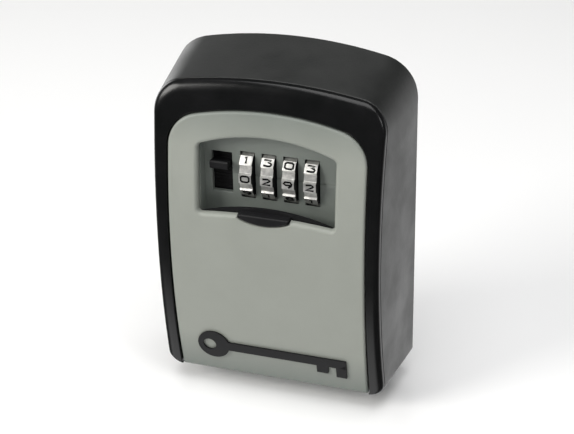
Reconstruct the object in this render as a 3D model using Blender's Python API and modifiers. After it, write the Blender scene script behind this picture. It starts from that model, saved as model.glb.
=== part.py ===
"""Key lock box: a wall-mounted key safe with a bottom-hinged door and a row of code dials.

Metres, +Z up. The front faces -Y, and +X is to the right seen from the front. The sizes below are
measured from the wall plane (y = 0) and from the base (z = 0). The parent empty then puts the
origin at the centre of the flat wall face.
"""

from math import acos, atan2, ceil, cos, hypot, pi, radians, sin, sqrt

import bmesh
import bpy
from mathutils import Matrix, Vector

MM = 0.001
PAST = 1.0 * MM                  # how far a cutter reaches past the face that it opens

# Overall size
WIDTH = 83.0 * MM
HEIGHT = 115.0 * MM
DEPTH = 35.2 * MM
CROWN_RADIUS = 221.0 * MM        # the front is a shallow arc seen from the side
CROWN_HEIGHT = 51.5 * MM         # height of the arc's foremost line
STRIP = 7.0 * MM                 # height of the flat strips that the arc is cut into
SIDE_STEPS = 14                  # points up a straight side, which let it follow the arc

# Shell outline: at the wall, and TAPER_DEPTH in front of it
TAPER_DEPTH = 27.0 * MM
SIDE_TAPER = 2.7 * MM
TOP_TAPER = 6.0 * MM
BACK_ARCH, BACK_CORNER, BACK_FOOT = 142.0 * MM, 13.9 * MM, 3.0 * MM
FRONT_ARCH, FRONT_CORNER, FRONT_FOOT = 205.0 * MM, 10.1 * MM, 4.2 * MM
WALL = 3.5 * MM
BACK_WALL = 3.0 * MM
BEZEL_THICK = 2.1 * MM
BEZEL_EDGE = 3.0 * MM
SEAM_GAP = 0.3 * MM
GAP = 0.4 * MM                   # clearance between a moving piece and its neighbours
TOUCH = 0.3 * MM                 # gap between pieces that rest on each other
LAP = 0.1 * MM                   # how far one block of a piece reaches past another's face

# Door
FRAME_SIDE = 8.2 * MM            # shell's half width at the wall less the door's half width
FRAME_TOP = 15.0 * MM
DOOR_ARCH, DOOR_CORNER, DOOR_FOOT = 106.0 * MM, 11.3 * MM, 0.8 * MM
DOOR_SKIN = 2.2 * MM
DOOR_RIM = 2.0 * MM
DOOR_RIM_BACK = 22.0 * MM        # depth of the rim's back edge
DOOR_EDGE = 1.0 * MM

# Hinge
PIN_DEPTH, PIN_HEIGHT, PIN_RADIUS = 24.5 * MM, 4.2 * MM, 1.2 * MM
PIN_HOLE_SLACK, PIN_IN_LUG = 0.08 * MM, 1.8 * MM
SWING_RADIUS = 7.0 * MM          # room that the door's foot needs round the pin
LUG_WIDE, LUG_LONG, LUG_HIGH = 2.4 * MM, 6.8 * MM, 7.4 * MM
LUG_FOOT = 1.0 * MM              # underside of the lugs and knuckles
KNUCKLE_WIDE, KNUCKLE_SIDE, KNUCKLE_LONG, KNUCKLE_ABOVE_PIN = 4.5 * MM, 0.5 * MM, 4.5 * MM, 3.0 * MM

# Dial recess, measured from the top of the box or about the dial axis
DIALS_BELOW_TOP = 39.4 * MM
FLOOR_BELOW_FRONT = 9.2 * MM
FLOOR_THICK = 1.6 * MM
RECESS_HALF = 23.2 * MM
RECESS_ABOVE_DIALS = 16.0 * MM
RECESS_ARCH = 65.0 * MM
RECESS_CORNER = 2.0 * MM
LIP_BELOW_DIALS = 10.6 * MM
LIP_ARCH = 210.0 * MM
SHUTTER_ROOM = 28.5 * MM         # depth of the shutter's pocket under the lip
POCKET_WALL = 1.6 * MM

# Dials
DIAL_COUNT = 4
DIGITS = 10
DIAL_RADIUS = 10.2 * MM
DIAL_VALLEY = 0.7 * MM
TOOTH_HALF, VALLEY_START = 9.4, 11.2   # degrees from a tooth's middle
DIAL_PROUD = 3.6 * MM            # crest of a dial above the recess floor
DIAL_WIDE = 4.3 * MM
DIAL_SPACE = 2.98 * MM           # between dials, for a hub's disc
FIRST_DIAL_X = -8.3 * MM
DIAL_BORE = 4.3 * MM
SLOT_SLACK = 0.38 * MM
SHAFT_RADIUS = 1.2 * MM
SHAFT_SLACK = 0.08 * MM
CLUTCH_RADIUS, CLUTCH_TURNS = 2.1 * MM, 4
THREAD_SLACK = 0.1 * MM
HUB_DISC_RADIUS, HUB_DISC_WIDE, HUB_NECK = 4.8 * MM, 2.0 * MM, 1.95 * MM
GATE_FOOT = 0.5 * MM             # how far a gate starts from the level of the axis

# Release
WINDOW_X, WINDOW_HALF, WINDOW_HIGH = -17.2 * MM, 3.5 * MM, 14.4 * MM
RELEASE_TRAVEL = 5.0 * MM
BUTTON_THICK = 1.5 * MM
NUB_HIGH, NUB_ABOVE_DIALS, NUB_PROUD = 3.2 * MM, 3.6 * MM, 3.4 * MM
BUTTON_LAP = 0.7 * MM            # how far the slider reaches past the window's edges
PEG_HALF, PEG_LONG, PEG_HIGH, PEG_BELOW_TOP = 2.5 * MM, 4.5 * MM, 2.0 * MM, 1.0 * MM
ARM_OFF_BUTTON = 1.4 * MM        # between the slider's back and the arm over its peg
FINGER_OFF_NECK = 0.25 * MM
BAR_REACH = 4.0 * MM             # how far the bar runs past the middle of the window
RIDGE_PITCH, RIDGE_DEEP, RIDGE_GAP = 1.6 * MM, 0.5 * MM, 0.6 * MM
FINGER_WIDE, FINGER_DEEP, BAR_THICK = 1.6 * MM, 3.8 * MM, 1.5 * MM
TONGUE_HALF, TONGUE_THICK = 7.0 * MM, 1.4 * MM
SPRING_X, SPRING_DEPTH, SPRING_RADIUS, SPRING_WIRE = 21.0 * MM, 11.4 * MM, 1.5 * MM, 0.25 * MM
SPRING_TURNS, SPRING_LONG = 7, 16.0 * MM
SPRING_ROOM = 2.2 * MM           # half width of the bar and the ledge at the spring

# Shutter
SHUTTER_THICK = 1.0 * MM
SHUTTER_HIGH, SHUTTER_CORNER = 26.5 * MM, 1.0 * MM
SHUTTER_ARCH = 73.0 * MM
SHUTTER_SHOWS = 2.0 * MM         # how far its top stands over the lip
GROOVE_DEEP, GROOVE_BELOW_TOP = 0.8 * MM, 4.6 * MM
TAB_X, TAB_HALF = -0.6 * MM, 8.6 * MM
TAB_DROP, TAB_SIDE, TAB_PROUD, TAB_SHOWS = 3.1 * MM, 1.2 * MM, 0.5 * MM, 0.6 * MM

# Lock case, lever and strike
CASE_HALF, CASE_WALL, LEDGE_THICK = 24.4 * MM, 1.2 * MM, 1.0 * MM
CASE_BELOW_DIALS = 3.4 * MM      # room under the dials for the detent spring
LEAF_THICK, LEAF_SIDE = 0.35 * MM, 0.6 * MM   # the spring's leaf, and a finger's edge inside its dial's
EAR_OUT, EAR_HALF, EAR_DROP = 3.2 * MM, 3.0 * MM, 2.0 * MM
EARS_BELOW_DIALS, EARS_ABOVE_DIALS = 11.0 * MM, 9.0 * MM
POST_RADIUS, POST_WAY = 2.4 * MM, 8.0 * MM
LEVER_LONG, LEVER_HIGH, LEVER_THICK, LEVER_TRAVEL = 14.0 * MM, 5.0 * MM, 1.2 * MM, 3.0 * MM
LEVER_NECK_HALF, LEVER_NECK_HIGH, LEVER_GRIP_WIDE, LEVER_GRIP_OUT = 2.8 * MM, 3.0 * MM, 2.0 * MM, 1.2 * MM
STRIKE_HALF, STRIKE_HIGH = 9.0 * MM, 3.6 * MM

# Screws, their margins in the shell, and the holes for wall screws
SCREW_RADIUS, HEAD_RADIUS, HEAD_THICK = 1.0 * MM, 1.9 * MM, 1.2 * MM
CROSS_HALF, CROSS_DEEP = 0.25 * MM, 0.5 * MM
SINK_DEEP = 2.0 * MM             # recess in the back wall for a bezel screw's head
CASE_SCREW_LONG = 6.0 * MM
UPPER_SCREW_SIDE, UPPER_SCREW_TOP, UPPER_BOSS = 11.5 * MM, 13.5 * MM, 3.0 * MM   # margins, radius
LOWER_SCREW_SIDE, LOWER_SCREW_Z, LOWER_BOSS = 5.3 * MM, 16.0 * MM, 2.3 * MM
WALL_HOLE_X, WALL_HOLE_MARGIN, WALL_HOLE_RADIUS = 22.0 * MM, 20.0 * MM, 2.6 * MM

# Inlay
INLAY_HEIGHT, INLAY_THICK, INLAY_GAP = 12.0 * MM, 0.6 * MM, 0.15 * MM
BOW_X, BOW_RADIUS, BOW_HOLE = -20.5 * MM, 5.6 * MM, 2.3 * MM
SHANK_END, SHANK_HALF = 26.5 * MM, 1.7 * MM
BITS = ((3.6 * MM, 0.0, 4.0 * MM), (4.0 * MM, 6.4 * MM, 3.0 * MM))   # width, distance from the end, drop

# Worked out from the sizes above
SHELL_HALF = WIDTH / 2
DOOR_HALF = SHELL_HALF - FRAME_SIDE
DOOR_TOP = HEIGHT - FRAME_TOP
DIAL_Z = HEIGHT - DIALS_BELOW_TOP
FLOOR_Y = -(DEPTH - FLOOR_BELOW_FRONT)
FLOOR_BACK_Y = FLOOR_Y + FLOOR_THICK
DIAL_Y = FLOOR_Y - DIAL_PROUD + DIAL_RADIUS
RECESS_TOP = DIAL_Z + RECESS_ABOVE_DIALS
LIP_Z = DIAL_Z - LIP_BELOW_DIALS
POCKET_FOOT = LIP_Z - SHUTTER_ROOM
SHUTTER_TOP = LIP_Z + SHUTTER_SHOWS
TAB_TOP = LIP_Z + TAB_SHOWS
SHUTTER_FRONT = -DEPTH + DOOR_SKIN + TOUCH
SHUTTER_BACK = SHUTTER_FRONT + SHUTTER_THICK
BAR_Z = DIAL_Z + DIAL_RADIUS + RELEASE_TRAVEL + GAP
CASE_FRONT = FLOOR_BACK_Y + TOUCH
CASE_BACK_INNER = DIAL_Y + DIAL_RADIUS + GAP
CASE_BACK = CASE_BACK_INNER + CASE_WALL
CASE_FOOT = DIAL_Z - DIAL_RADIUS - CASE_BELOW_DIALS - CASE_WALL
CASE_TOP = BAR_Z + BAR_THICK + GAP + CASE_WALL
EAR_X = CASE_HALF + EAR_OUT
EAR_BACK = CASE_BACK_INNER - EAR_DROP
EAR_ZS = (DIAL_Z - EARS_BELOW_DIALS, DIAL_Z + EARS_ABOVE_DIALS)
CASE_EARS = [(side * EAR_X, z) for side in (-1, 1) for z in EAR_ZS]
DIAL_PITCH = DIAL_WIDE + DIAL_SPACE
DIAL_XS = [FIRST_DIAL_X + DIAL_PITCH * place for place in range(DIAL_COUNT)]


# ---- scene, materials and shape helpers ----

def collection_named(name):
    made = bpy.data.collections.new(name)
    bpy.context.scene.collection.children.link(made)
    return made


def material(name, colour, roughness, metallic=0.0):
    made = bpy.data.materials.new(name)
    made.use_nodes = True
    shader = made.node_tree.nodes["Principled BSDF"]
    shader.inputs["Base Color"].default_value = (*colour, 1.0)
    shader.inputs["Roughness"].default_value = roughness
    shader.inputs["Metallic"].default_value = metallic
    return made


def tidy_mesh(mesh):
    """Merges touching points and turns the faces outwards."""
    shape = bmesh.new()
    shape.from_mesh(mesh)
    bmesh.ops.remove_doubles(shape, verts=shape.verts, dist=1e-6)
    bmesh.ops.recalc_face_normals(shape, faces=shape.faces)
    shape.to_mesh(mesh)
    shape.free()


def helper(name, mesh):
    """An object used only to cut or join others."""
    made = bpy.data.objects.new(name, mesh)
    cutters.objects.link(made)
    made.hide_render = True
    made.display_type = "WIRE"
    return made


def pivot(name, place, parent):
    """An empty on a joint's axis, from which the pieces that the joint moves hang."""
    made = bpy.data.objects.new(name, None)
    assembly.objects.link(made)
    bpy.context.view_layer.update()
    made.parent = parent
    made.location = parent.matrix_world.inverted() @ origin.matrix_world @ Vector(place)
    return made


def part(name, source, finish, carrier=None):
    """Makes a helper into a sub-part: its modifiers are applied, and it hangs from its empty."""
    carrier = carrier or origin
    bpy.context.view_layer.update()
    graph = bpy.context.evaluated_depsgraph_get()
    mesh = bpy.data.meshes.new_from_object(source.evaluated_get(graph))
    mesh.transform(carrier.matrix_world.inverted() @ origin.matrix_world)
    mesh.name = name
    made = bpy.data.objects.new(name, mesh)
    assembly.objects.link(made)
    made.parent = carrier
    mesh.materials.clear()
    mesh.materials.append(finish)
    mesh.shade_smooth()
    mesh.set_sharp_from_angle(angle=radians(32))
    bpy.data.objects.remove(source)
    return made


def baked(source):
    """A helper with its modifiers applied."""
    bpy.context.view_layer.update()
    graph = bpy.context.evaluated_depsgraph_get()
    mesh = bpy.data.meshes.new_from_object(source.evaluated_get(graph))
    made = helper(source.name + "_baked", mesh)
    bpy.data.objects.remove(source)
    return made


def boolean(target, others, operation, solver="EXACT"):
    for other in others:
        step = target.modifiers.new(other.name, "BOOLEAN")
        step.operation = operation
        step.solver = solver
        step.object = other
    return target


def cut(target, *others):
    return boolean(target, others, "DIFFERENCE")


def drill(target, *others):
    """Cuts rows of round holes, where the exact solver leaves open edges."""
    return boolean(target, others, "DIFFERENCE", "MANIFOLD")


def join(target, *others):
    return boolean(target, others, "UNION")


def box(name, x, y, z):
    """A block between two values on each axis."""
    shape = bmesh.new()
    size = [high - low for low, high in (x, y, z)]
    middle = [(high + low) / 2 for low, high in (x, y, z)]
    place = Matrix.Translation(middle) @ Matrix.Diagonal((*size, 1.0))
    bmesh.ops.create_cube(shape, size=1.0, matrix=place)
    mesh = bpy.data.meshes.new(name)
    shape.to_mesh(mesh)
    shape.free()
    return helper(name, mesh)


def rod(name, radius, start, end, end_radius=None, sides=24):
    """A cylinder or cone between two points."""
    start, end = Vector(start), Vector(end)
    turn = (end - start).to_track_quat("Z", "Y").to_matrix().to_4x4()
    place = Matrix.Translation((start + end) / 2) @ turn
    shape = bmesh.new()
    bmesh.ops.create_cone(
        shape, cap_ends=True, segments=sides, radius1=radius,
        radius2=radius if end_radius is None else end_radius,
        depth=(end - start).length, matrix=place,
    )
    mesh = bpy.data.meshes.new(name)
    shape.to_mesh(mesh)
    shape.free()
    return helper(name, mesh)


def curve_mesh(name, curve, turn):
    """Makes a curve into a mesh helper."""
    drawn = bpy.data.objects.new(name, curve)
    cutters.objects.link(drawn)
    drawn.matrix_world = turn
    bpy.context.view_layer.update()
    graph = bpy.context.evaluated_depsgraph_get()
    mesh = bpy.data.meshes.new_from_object(drawn.evaluated_get(graph))
    mesh.transform(turn)
    bpy.data.objects.remove(drawn)
    tidy_mesh(mesh)
    return helper(name, mesh)


def outline_curve(name, outline, thickness):
    curve = bpy.data.curves.new(name, "CURVE")
    curve.dimensions = "2D"
    curve.fill_mode = "BOTH"
    curve.extrude = thickness / 2
    line = curve.splines.new("POLY")
    line.points.add(len(outline) - 1)
    for point, (first, second) in zip(line.points, outline):
        point.co = (first, second, 0.0, 1.0)
    line.use_cyclic_u = True
    return curve


def plate(name, outline, y):
    """A flat plate: an outline in X and Z, between two values of y."""
    turn = Matrix.Translation((0, (y[0] + y[1]) / 2, 0)) @ Matrix.Rotation(pi / 2, 4, "X")
    return curve_mesh(name, outline_curve(name, outline, y[1] - y[0]), turn)


def side_plate(name, outline, x):
    """A flat plate: an outline in Y and Z, between two values of x."""
    turn = Matrix.Translation(((x[0] + x[1]) / 2, 0, 0)) @ Matrix(
        ((0, 0, 1, 0), (1, 0, 0, 0), (0, 1, 0, 0), (0, 0, 0, 1))
    )
    return curve_mesh(name, outline_curve(name, outline, x[1] - x[0]), turn)


# ---- outlines ----

def arc(middle, radius, start, end, steps):
    """Points along an arc, with the angles in degrees."""
    angles = [radians(start + (end - start) * step / steps) for step in range(steps + 1)]
    return [(middle[0] + radius * cos(a), middle[1] + radius * sin(a)) for a in angles]


def half_outline(half, top, arch, corner, foot, base=0.0, side_steps=0):
    """The right half of an arched outline, from its foot up to the middle of the arch."""
    arch_z = top - arch
    corner_x = half - corner
    corner_z = arch_z + sqrt((arch - corner) ** 2 - corner_x**2)
    lean = atan2(corner_z - arch_z, corner_x) * 180 / pi
    points = arc((half - foot, base + foot), foot, -90, 0, 4)
    if side_steps:
        side = corner_z - base - foot
        points += [(half, base + foot + side * step / side_steps) for step in range(1, side_steps)]
    points += arc((corner_x, corner_z), corner, 0, lean, 8)
    points += arc((0.0, arch_z), arch, lean, 90, 8)[1:]
    return points


def whole_outline(half):
    """A closed outline from its right half."""
    return half + [(-x, z) for x, z in reversed(half[:-1])]


def shell_outline(inset=0.0):
    """(x, z) of the shell at the wall and at TAPER_DEPTH, pulled in by a wall's thickness."""
    foot_back, foot_front = max(BACK_FOOT - inset, 1.0 * MM), max(FRONT_FOOT - inset, 1.0 * MM)
    back = half_outline(
        SHELL_HALF - inset, HEIGHT - inset, BACK_ARCH - inset, BACK_CORNER - inset, foot_back, inset,
        SIDE_STEPS,
    )
    front = half_outline(
        SHELL_HALF - SIDE_TAPER - inset, HEIGHT - TOP_TAPER - inset, FRONT_ARCH - inset,
        FRONT_CORNER - inset, foot_front, inset, SIDE_STEPS,
    )
    return whole_outline(back), whole_outline(front)


def sag(z):
    """How far the crowned front lies behind its foremost line, at a height."""
    return CROWN_RADIUS - sqrt(CROWN_RADIUS**2 - (z - CROWN_HEIGHT) ** 2)


def shell_point(back, front, depth):
    """A point of the tapered shell, at a depth from the wall."""
    share = depth / TAPER_DEPTH
    return (back[0] + (front[0] - back[0]) * share, -depth, back[1] + (front[1] - back[1]) * share)


def crowned_point(back, front, below_front):
    """A point of the tapered shell, at a distance behind its crowned front."""
    depth = DEPTH - below_front - sag(front[1])
    point = shell_point(back, front, depth)
    return shell_point(back, front, DEPTH - below_front - sag(point[2]))


def lofted(name, rows):
    """A skin over closed rows of points, capped at its two ends."""
    shape = bmesh.new()
    made = [[shape.verts.new(point) for point in row] for row in rows]
    for first, second in zip(made, made[1:]):
        for place in range(len(first)):
            after = (place + 1) % len(first)
            shape.faces.new((first[place], first[after], second[after], second[place]))
    shape.faces.new(made[0])
    shape.faces.new(made[-1])
    bmesh.ops.recalc_face_normals(shape, faces=shape.faces)
    mesh = bpy.data.meshes.new(name)
    shape.to_mesh(mesh)
    shape.free()
    return helper(name, mesh)


def crowned(source, still_y, full_y):
    """Bends a flat helper to the crown: nothing moves behind still_y, all of it in front of full_y."""
    shape = bmesh.new()
    shape.from_mesh(source.data)
    low = min(vertex.co.z for vertex in shape.verts)
    high = max(vertex.co.z for vertex in shape.verts)
    count = ceil((high - low) / STRIP)
    for step in range(1, count):
        level = low + (high - low) * step / count
        bmesh.ops.bisect_plane(
            shape, geom=shape.verts[:] + shape.edges[:] + shape.faces[:],
            dist=1e-6, plane_co=(0, 0, level), plane_no=(0, 0, 1),
        )
    for vertex in shape.verts:
        share = (still_y - vertex.co.y) / (still_y - full_y)
        vertex.co.y += sag(vertex.co.z) * min(max(share, 0.0), 1.0)
    shape.to_mesh(source.data)
    shape.free()
    return source


# ---- shell ----

def screw_places():
    """(x, z, boss radius) of the four screws that hold the bezel."""
    upper = (SHELL_HALF - UPPER_SCREW_SIDE, HEIGHT - UPPER_SCREW_TOP, UPPER_BOSS)
    lower = (SHELL_HALF - LOWER_SCREW_SIDE, LOWER_SCREW_Z, LOWER_BOSS)
    return [(side * x, z, radius) for x, z, radius in (upper, lower) for side in (1, -1)]


def seam_depth(z):
    return DEPTH - BEZEL_THICK - SEAM_GAP - sag(z)


def boss_depth(z, radius):
    return min(seam_depth(z - radius), seam_depth(z + radius))


def rear_housing():
    """A tapered tub with hinge lugs, screw bosses, and holes in its back for wall screws."""
    rim = BEZEL_THICK + SEAM_GAP
    outer, inner = shell_outline(), shell_outline(WALL)
    rows = [
        [shell_point(b, f, 0.0) for b, f in zip(*outer)],
        [crowned_point(b, f, rim) for b, f in zip(*outer)],
        [crowned_point(b, f, rim) for b, f in zip(*inner)],
        [shell_point(b, f, BACK_WALL) for b, f in zip(*inner)],
    ]
    tub = lofted("tub", rows)
    lug_x = DOOR_HALF + GAP
    foot_room = box(
        "foot_room", (-lug_x, lug_x), (-DEPTH, -PIN_DEPTH + SWING_RADIUS), (-WALL, WALL * 1.2)
    )
    bosses = [
        rod("boss", radius, (x, -BACK_WALL / 2, z), (x, -boss_depth(z, radius), z))
        for x, z, radius in screw_places()
    ]
    lugs = [
        box(
            "lug", sorted((side * lug_x, side * (lug_x + LUG_WIDE))),
            (-PIN_DEPTH - LUG_LONG * 0.3, -PIN_DEPTH + LUG_LONG * 0.7), (LUG_FOOT, LUG_FOOT + LUG_HIGH),
        )
        for side in (1, -1)
    ]
    cut(tub, foot_room)
    join(tub, *bosses, *lugs)
    pin_end = DOOR_HALF + GAP + PIN_IN_LUG
    drill(tub, hinge_bore("pin_bore", pin_end))
    for x, z, radius in screw_places():
        drill(tub, rod("screw_way", SCREW_RADIUS + THREAD_SLACK, (x, PAST, z), (x, -DEPTH, z), sides=16))
        drill(tub, rod("head_way", HEAD_RADIUS + TOUCH, (x, PAST, z), (x, -SINK_DEEP, z), sides=16))
    for side in (1, -1):
        for z in (WALL_HOLE_MARGIN, HEIGHT - WALL_HOLE_MARGIN):
            x = side * WALL_HOLE_X
            way = rod("wall_way", WALL_HOLE_RADIUS, (x, PAST, z), (x, -BACK_WALL * 1.5, z), sides=20)
            drill(tub, way)
    return part("rear_housing", tub, black_satin)


def hinge_bore(name, half):
    return rod(
        name, PIN_RADIUS + PIN_HOLE_SLACK, (-half, -PIN_DEPTH, PIN_HEIGHT), (half, -PIN_DEPTH, PIN_HEIGHT)
    )


def front_bezel():
    """An inverted U that frames the door: one section swept from foot to foot."""
    back, front = shell_outline()
    opening = whole_outline(
        half_outline(
            DOOR_HALF + GAP, DOOR_TOP + GAP, DOOR_ARCH + GAP, DOOR_CORNER + GAP, GAP / 2, 0.0, SIDE_STEPS
        )
    )
    rows = []
    for b, f, (inner_x, inner_z) in zip(back, front, opening):
        section = [crowned_point(b, f, BEZEL_THICK)]
        edge = crowned_point(b, f, BEZEL_THICK * 0.5)
        away = hypot(inner_x - edge[0], inner_z - edge[2])
        for angle in (0, 30, 60, 90):
            turn = radians(angle)
            inset = min(BEZEL_EDGE, away * 0.8) * (1 - cos(turn)) / away
            x = edge[0] + (inner_x - edge[0]) * inset
            z = edge[2] + (inner_z - edge[2]) * inset
            section.append((x, -(DEPTH - sag(z)) + BEZEL_THICK * 0.8 * (1 - sin(turn)), z))
        section.append((inner_x, -(DEPTH - sag(inner_z)), inner_z))
        section.append((inner_x, -(DEPTH - sag(inner_z)) + BEZEL_THICK, inner_z))
        rows.append(section)
    frame = lofted("frame", rows)
    for x, z, _ in screw_places():
        bottom = -seam_depth(z) - BEZEL_THICK * 0.75
        start = PAST - seam_depth(z)
        cut(frame, rod("thread_way", SCREW_RADIUS + THREAD_SLACK, (x, start, z), (x, bottom, z)))
    return part("front_bezel", frame, black_gloss)


def driver_cross(x, z, y):
    """The two slots of a cross recess in a screw's head, between two values of y."""
    long = HEAD_RADIUS * 0.6
    return [
        box("driver_slot", (x - half, x + half), y, (z - high, z + high))
        for half, high in ((long, CROSS_HALF), (CROSS_HALF, long))
    ]


def bezel_screw(number, x, z):
    head_y = -TOUCH
    end = -seam_depth(z) - BEZEL_THICK * 0.5
    shank = rod("shank", SCREW_RADIUS, (x, head_y - HEAD_THICK / 2, z), (x, end, z), sides=12)
    head = rod("head", HEAD_RADIUS, (x, head_y, z), (x, head_y - HEAD_THICK, z), sides=20)
    cross = driver_cross(x, z, (head_y - CROSS_DEEP, PAST))
    return part(f"bezel_screw_{number}", cut(join(head, shank), *cross), zinc)


def hinge_pin():
    half = DOOR_HALF + GAP + PIN_IN_LUG - TOUCH
    pin = rod(
        "pin", PIN_RADIUS, (-half, -PIN_DEPTH, PIN_HEIGHT), (half, -PIN_DEPTH, PIN_HEIGHT)
    )
    return part("hinge_pin", pin, zinc)


def strike_plate():
    """A steel block behind the bezel's top rail, which the tongue catches."""
    low = DOOR_TOP + GAP * 2
    high = low + STRIKE_HIGH
    front = -(DEPTH - BEZEL_THICK - sag(high)) + TOUCH
    strike = box("strike", (-STRIKE_HALF, STRIKE_HALF), (front, tongue_front() - GAP), (low, high))
    return part("strike_plate", strike, zinc)


# ---- door ----

def door_outline(inset, base):
    outline = half_outline(
        DOOR_HALF - inset, DOOR_TOP - inset, DOOR_ARCH - inset, DOOR_CORNER - inset, DOOR_FOOT, base
    )
    return whole_outline(outline)


def recess_outline(half, top, foot):
    return whole_outline(half_outline(half, top, RECESS_ARCH, RECESS_CORNER, RECESS_CORNER / 4, foot))


def mouth_outline():
    """The recess as it opens in the door's face, with an arched lip under it."""
    upper = recess_outline(RECESS_HALF, RECESS_TOP, POCKET_FOOT)
    sides = [(x, z) for x, z in upper if z > LIP_Z]
    lean = acos(RECESS_HALF / LIP_ARCH) * 180 / pi
    return sides + arc((0.0, LIP_Z - LIP_ARCH), LIP_ARCH, 180 - lean, lean, 10)


def smile(half, side, drop, top):
    """The tab's shape: a flat top, short sides and a curved lower edge."""
    radius = (half**2 + (drop - side) ** 2) / (2 * (drop - side))
    middle = top - drop + radius
    lean = acos(half / radius) * 180 / pi
    lower = arc((TAB_X, middle), radius, -180 + lean, -lean, 10)
    return [(TAB_X + half, top), (TAB_X - half, top)] + lower


def door_panel():
    """The crowned door: a shallow tray with the dial recess and the shutter's pocket behind it."""
    skin_back = -DEPTH + DOOR_SKIN
    tray = plate("tray", door_outline(0.0, 0.0), (-DEPTH, -DOOR_RIM_BACK))
    round_front_edge(tray, DOOR_EDGE)
    hollow = plate("hollow", door_outline(DOOR_RIM, DOOR_RIM), (skin_back, 0.0))
    pocket = plate(
        "pocket",
        recess_outline(RECESS_HALF + POCKET_WALL, RECESS_TOP + POCKET_WALL, POCKET_FOOT - POCKET_WALL),
        (skin_back - DOOR_SKIN / 2, FLOOR_BACK_Y),
    )
    channel = plate(
        "channel", recess_outline(RECESS_HALF, RECESS_TOP, POCKET_FOOT), (skin_back, FLOOR_Y)
    )
    through_skin = (-DEPTH * 1.2, skin_back + TOUCH / 3)
    mouth = plate("mouth", mouth_outline(), through_skin)
    notch = plate(
        "notch", smile(TAB_HALF + GAP, TAB_SIDE + GAP, TAB_DROP + GAP, TAB_TOP), through_skin
    )
    side = RECESS_HALF + GROOVE_DEEP
    groove = box(
        "groove", (-side, side), (SHUTTER_FRONT - TOUCH / 2, SHUTTER_BACK + TOUCH / 2),
        (POCKET_FOOT, RECESS_TOP - GROOVE_BELOW_TOP),
    )
    half = DIAL_WIDE / 2 + SLOT_SLACK
    slots = [
        rod(
            "dial_slot", DIAL_RADIUS + SLOT_SLACK, (x - half, DIAL_Y, DIAL_Z), (x + half, DIAL_Y, DIAL_Z),
            sides=48,
        )
        for x in DIAL_XS
    ]
    window = box(
        "window", (WINDOW_X - WINDOW_HALF, WINDOW_X + WINDOW_HALF), (FLOOR_Y - PAST, FLOOR_BACK_Y + PAST),
        (DIAL_Z - WINDOW_HIGH / 2, DIAL_Z + WINDOW_HIGH / 2),
    )
    flat = join(cut(tray, hollow), pocket)
    flat = baked(cut(flat, channel, mouth, notch, groove, window, *slots))
    door = crowned(flat, FLOOR_Y, SHUTTER_BACK + TOUCH / 2)
    posts = [
        rod("post", POST_RADIUS, (x, skin_back + sag(z) - DOOR_SKIN / 2, z), (x, EAR_BACK - TOUCH, z))
        for x, z in CASE_EARS
    ]
    knuckle_end = DOOR_HALF - KNUCKLE_SIDE
    knuckles = [
        box(
            "knuckle", sorted((side * (knuckle_end - KNUCKLE_WIDE), side * knuckle_end)),
            (-PIN_DEPTH - KNUCKLE_LONG, -DOOR_RIM_BACK), (LUG_FOOT, PIN_HEIGHT + KNUCKLE_ABOVE_PIN),
        )
        for side in (1, -1)
    ]
    join(door, *posts, *knuckles)
    cut(door, hinge_bore("door_bore", DOOR_HALF * 1.1))
    tongue_way = box(
        "tongue_way", (-TONGUE_HALF - GAP, TONGUE_HALF + GAP),
        (tongue_front() - GAP, -DOOR_RIM_BACK + PAST), (DOOR_TOP - DOOR_RIM * 2, DOOR_TOP + PAST),
    )
    cut(door, tongue_way)
    for x, z in CASE_EARS:
        cut(
            door,
            rod("post_way", SCREW_RADIUS + THREAD_SLACK, (x, 0, z), (x, EAR_BACK - POST_WAY, z), sides=16),
        )
    return part("door_panel", door, door_grey, door_pivot)


def round_front_edge(flat, radius):
    """Rounds the edges that lie in a flat helper's foremost plane."""
    shape = bmesh.new()
    shape.from_mesh(flat.data)
    bmesh.ops.dissolve_limit(shape, angle_limit=radians(0.5), verts=shape.verts, edges=shape.edges)
    front = min(vertex.co.y for vertex in shape.verts)
    edges = [
        edge for edge in shape.edges
        if all(abs(vertex.co.y - front) < 1e-6 for vertex in edge.verts)
        and edge.calc_face_angle(0.0) > radians(60)
    ]
    bmesh.ops.bevel(shape, geom=edges, offset=radius, segments=2, profile=0.5, affect="EDGES")
    shape.to_mesh(flat.data)
    shape.free()


def inlay():
    """A plain key in outline, on the foot of the door."""
    front = (-DEPTH - INLAY_GAP - INLAY_THICK, -DEPTH - INLAY_GAP)
    z = INLAY_HEIGHT
    bow = plate("bow", arc((BOW_X, z), BOW_RADIUS, 0, 350, 35), front)
    eye = plate(
        "eye", arc((BOW_X - BOW_RADIUS * 0.25, z), BOW_HOLE, 0, 340, 17), (front[0] - PAST, front[1] + PAST)
    )
    shank = box("shank", (BOW_X, SHANK_END), front, (z - SHANK_HALF, z + SHANK_HALF))
    bits = [
        box("bit", (SHANK_END - away - wide, SHANK_END - away), front, (z - SHANK_HALF - drop, z))
        for wide, away, drop in BITS
    ]
    key = crowned(baked(cut(join(bow, shank, *bits), eye)), front[1] + 2 * PAST, front[1] + PAST)
    return part("door_inlay", key, black_matt, door_pivot)


# ---- shutter ----

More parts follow.
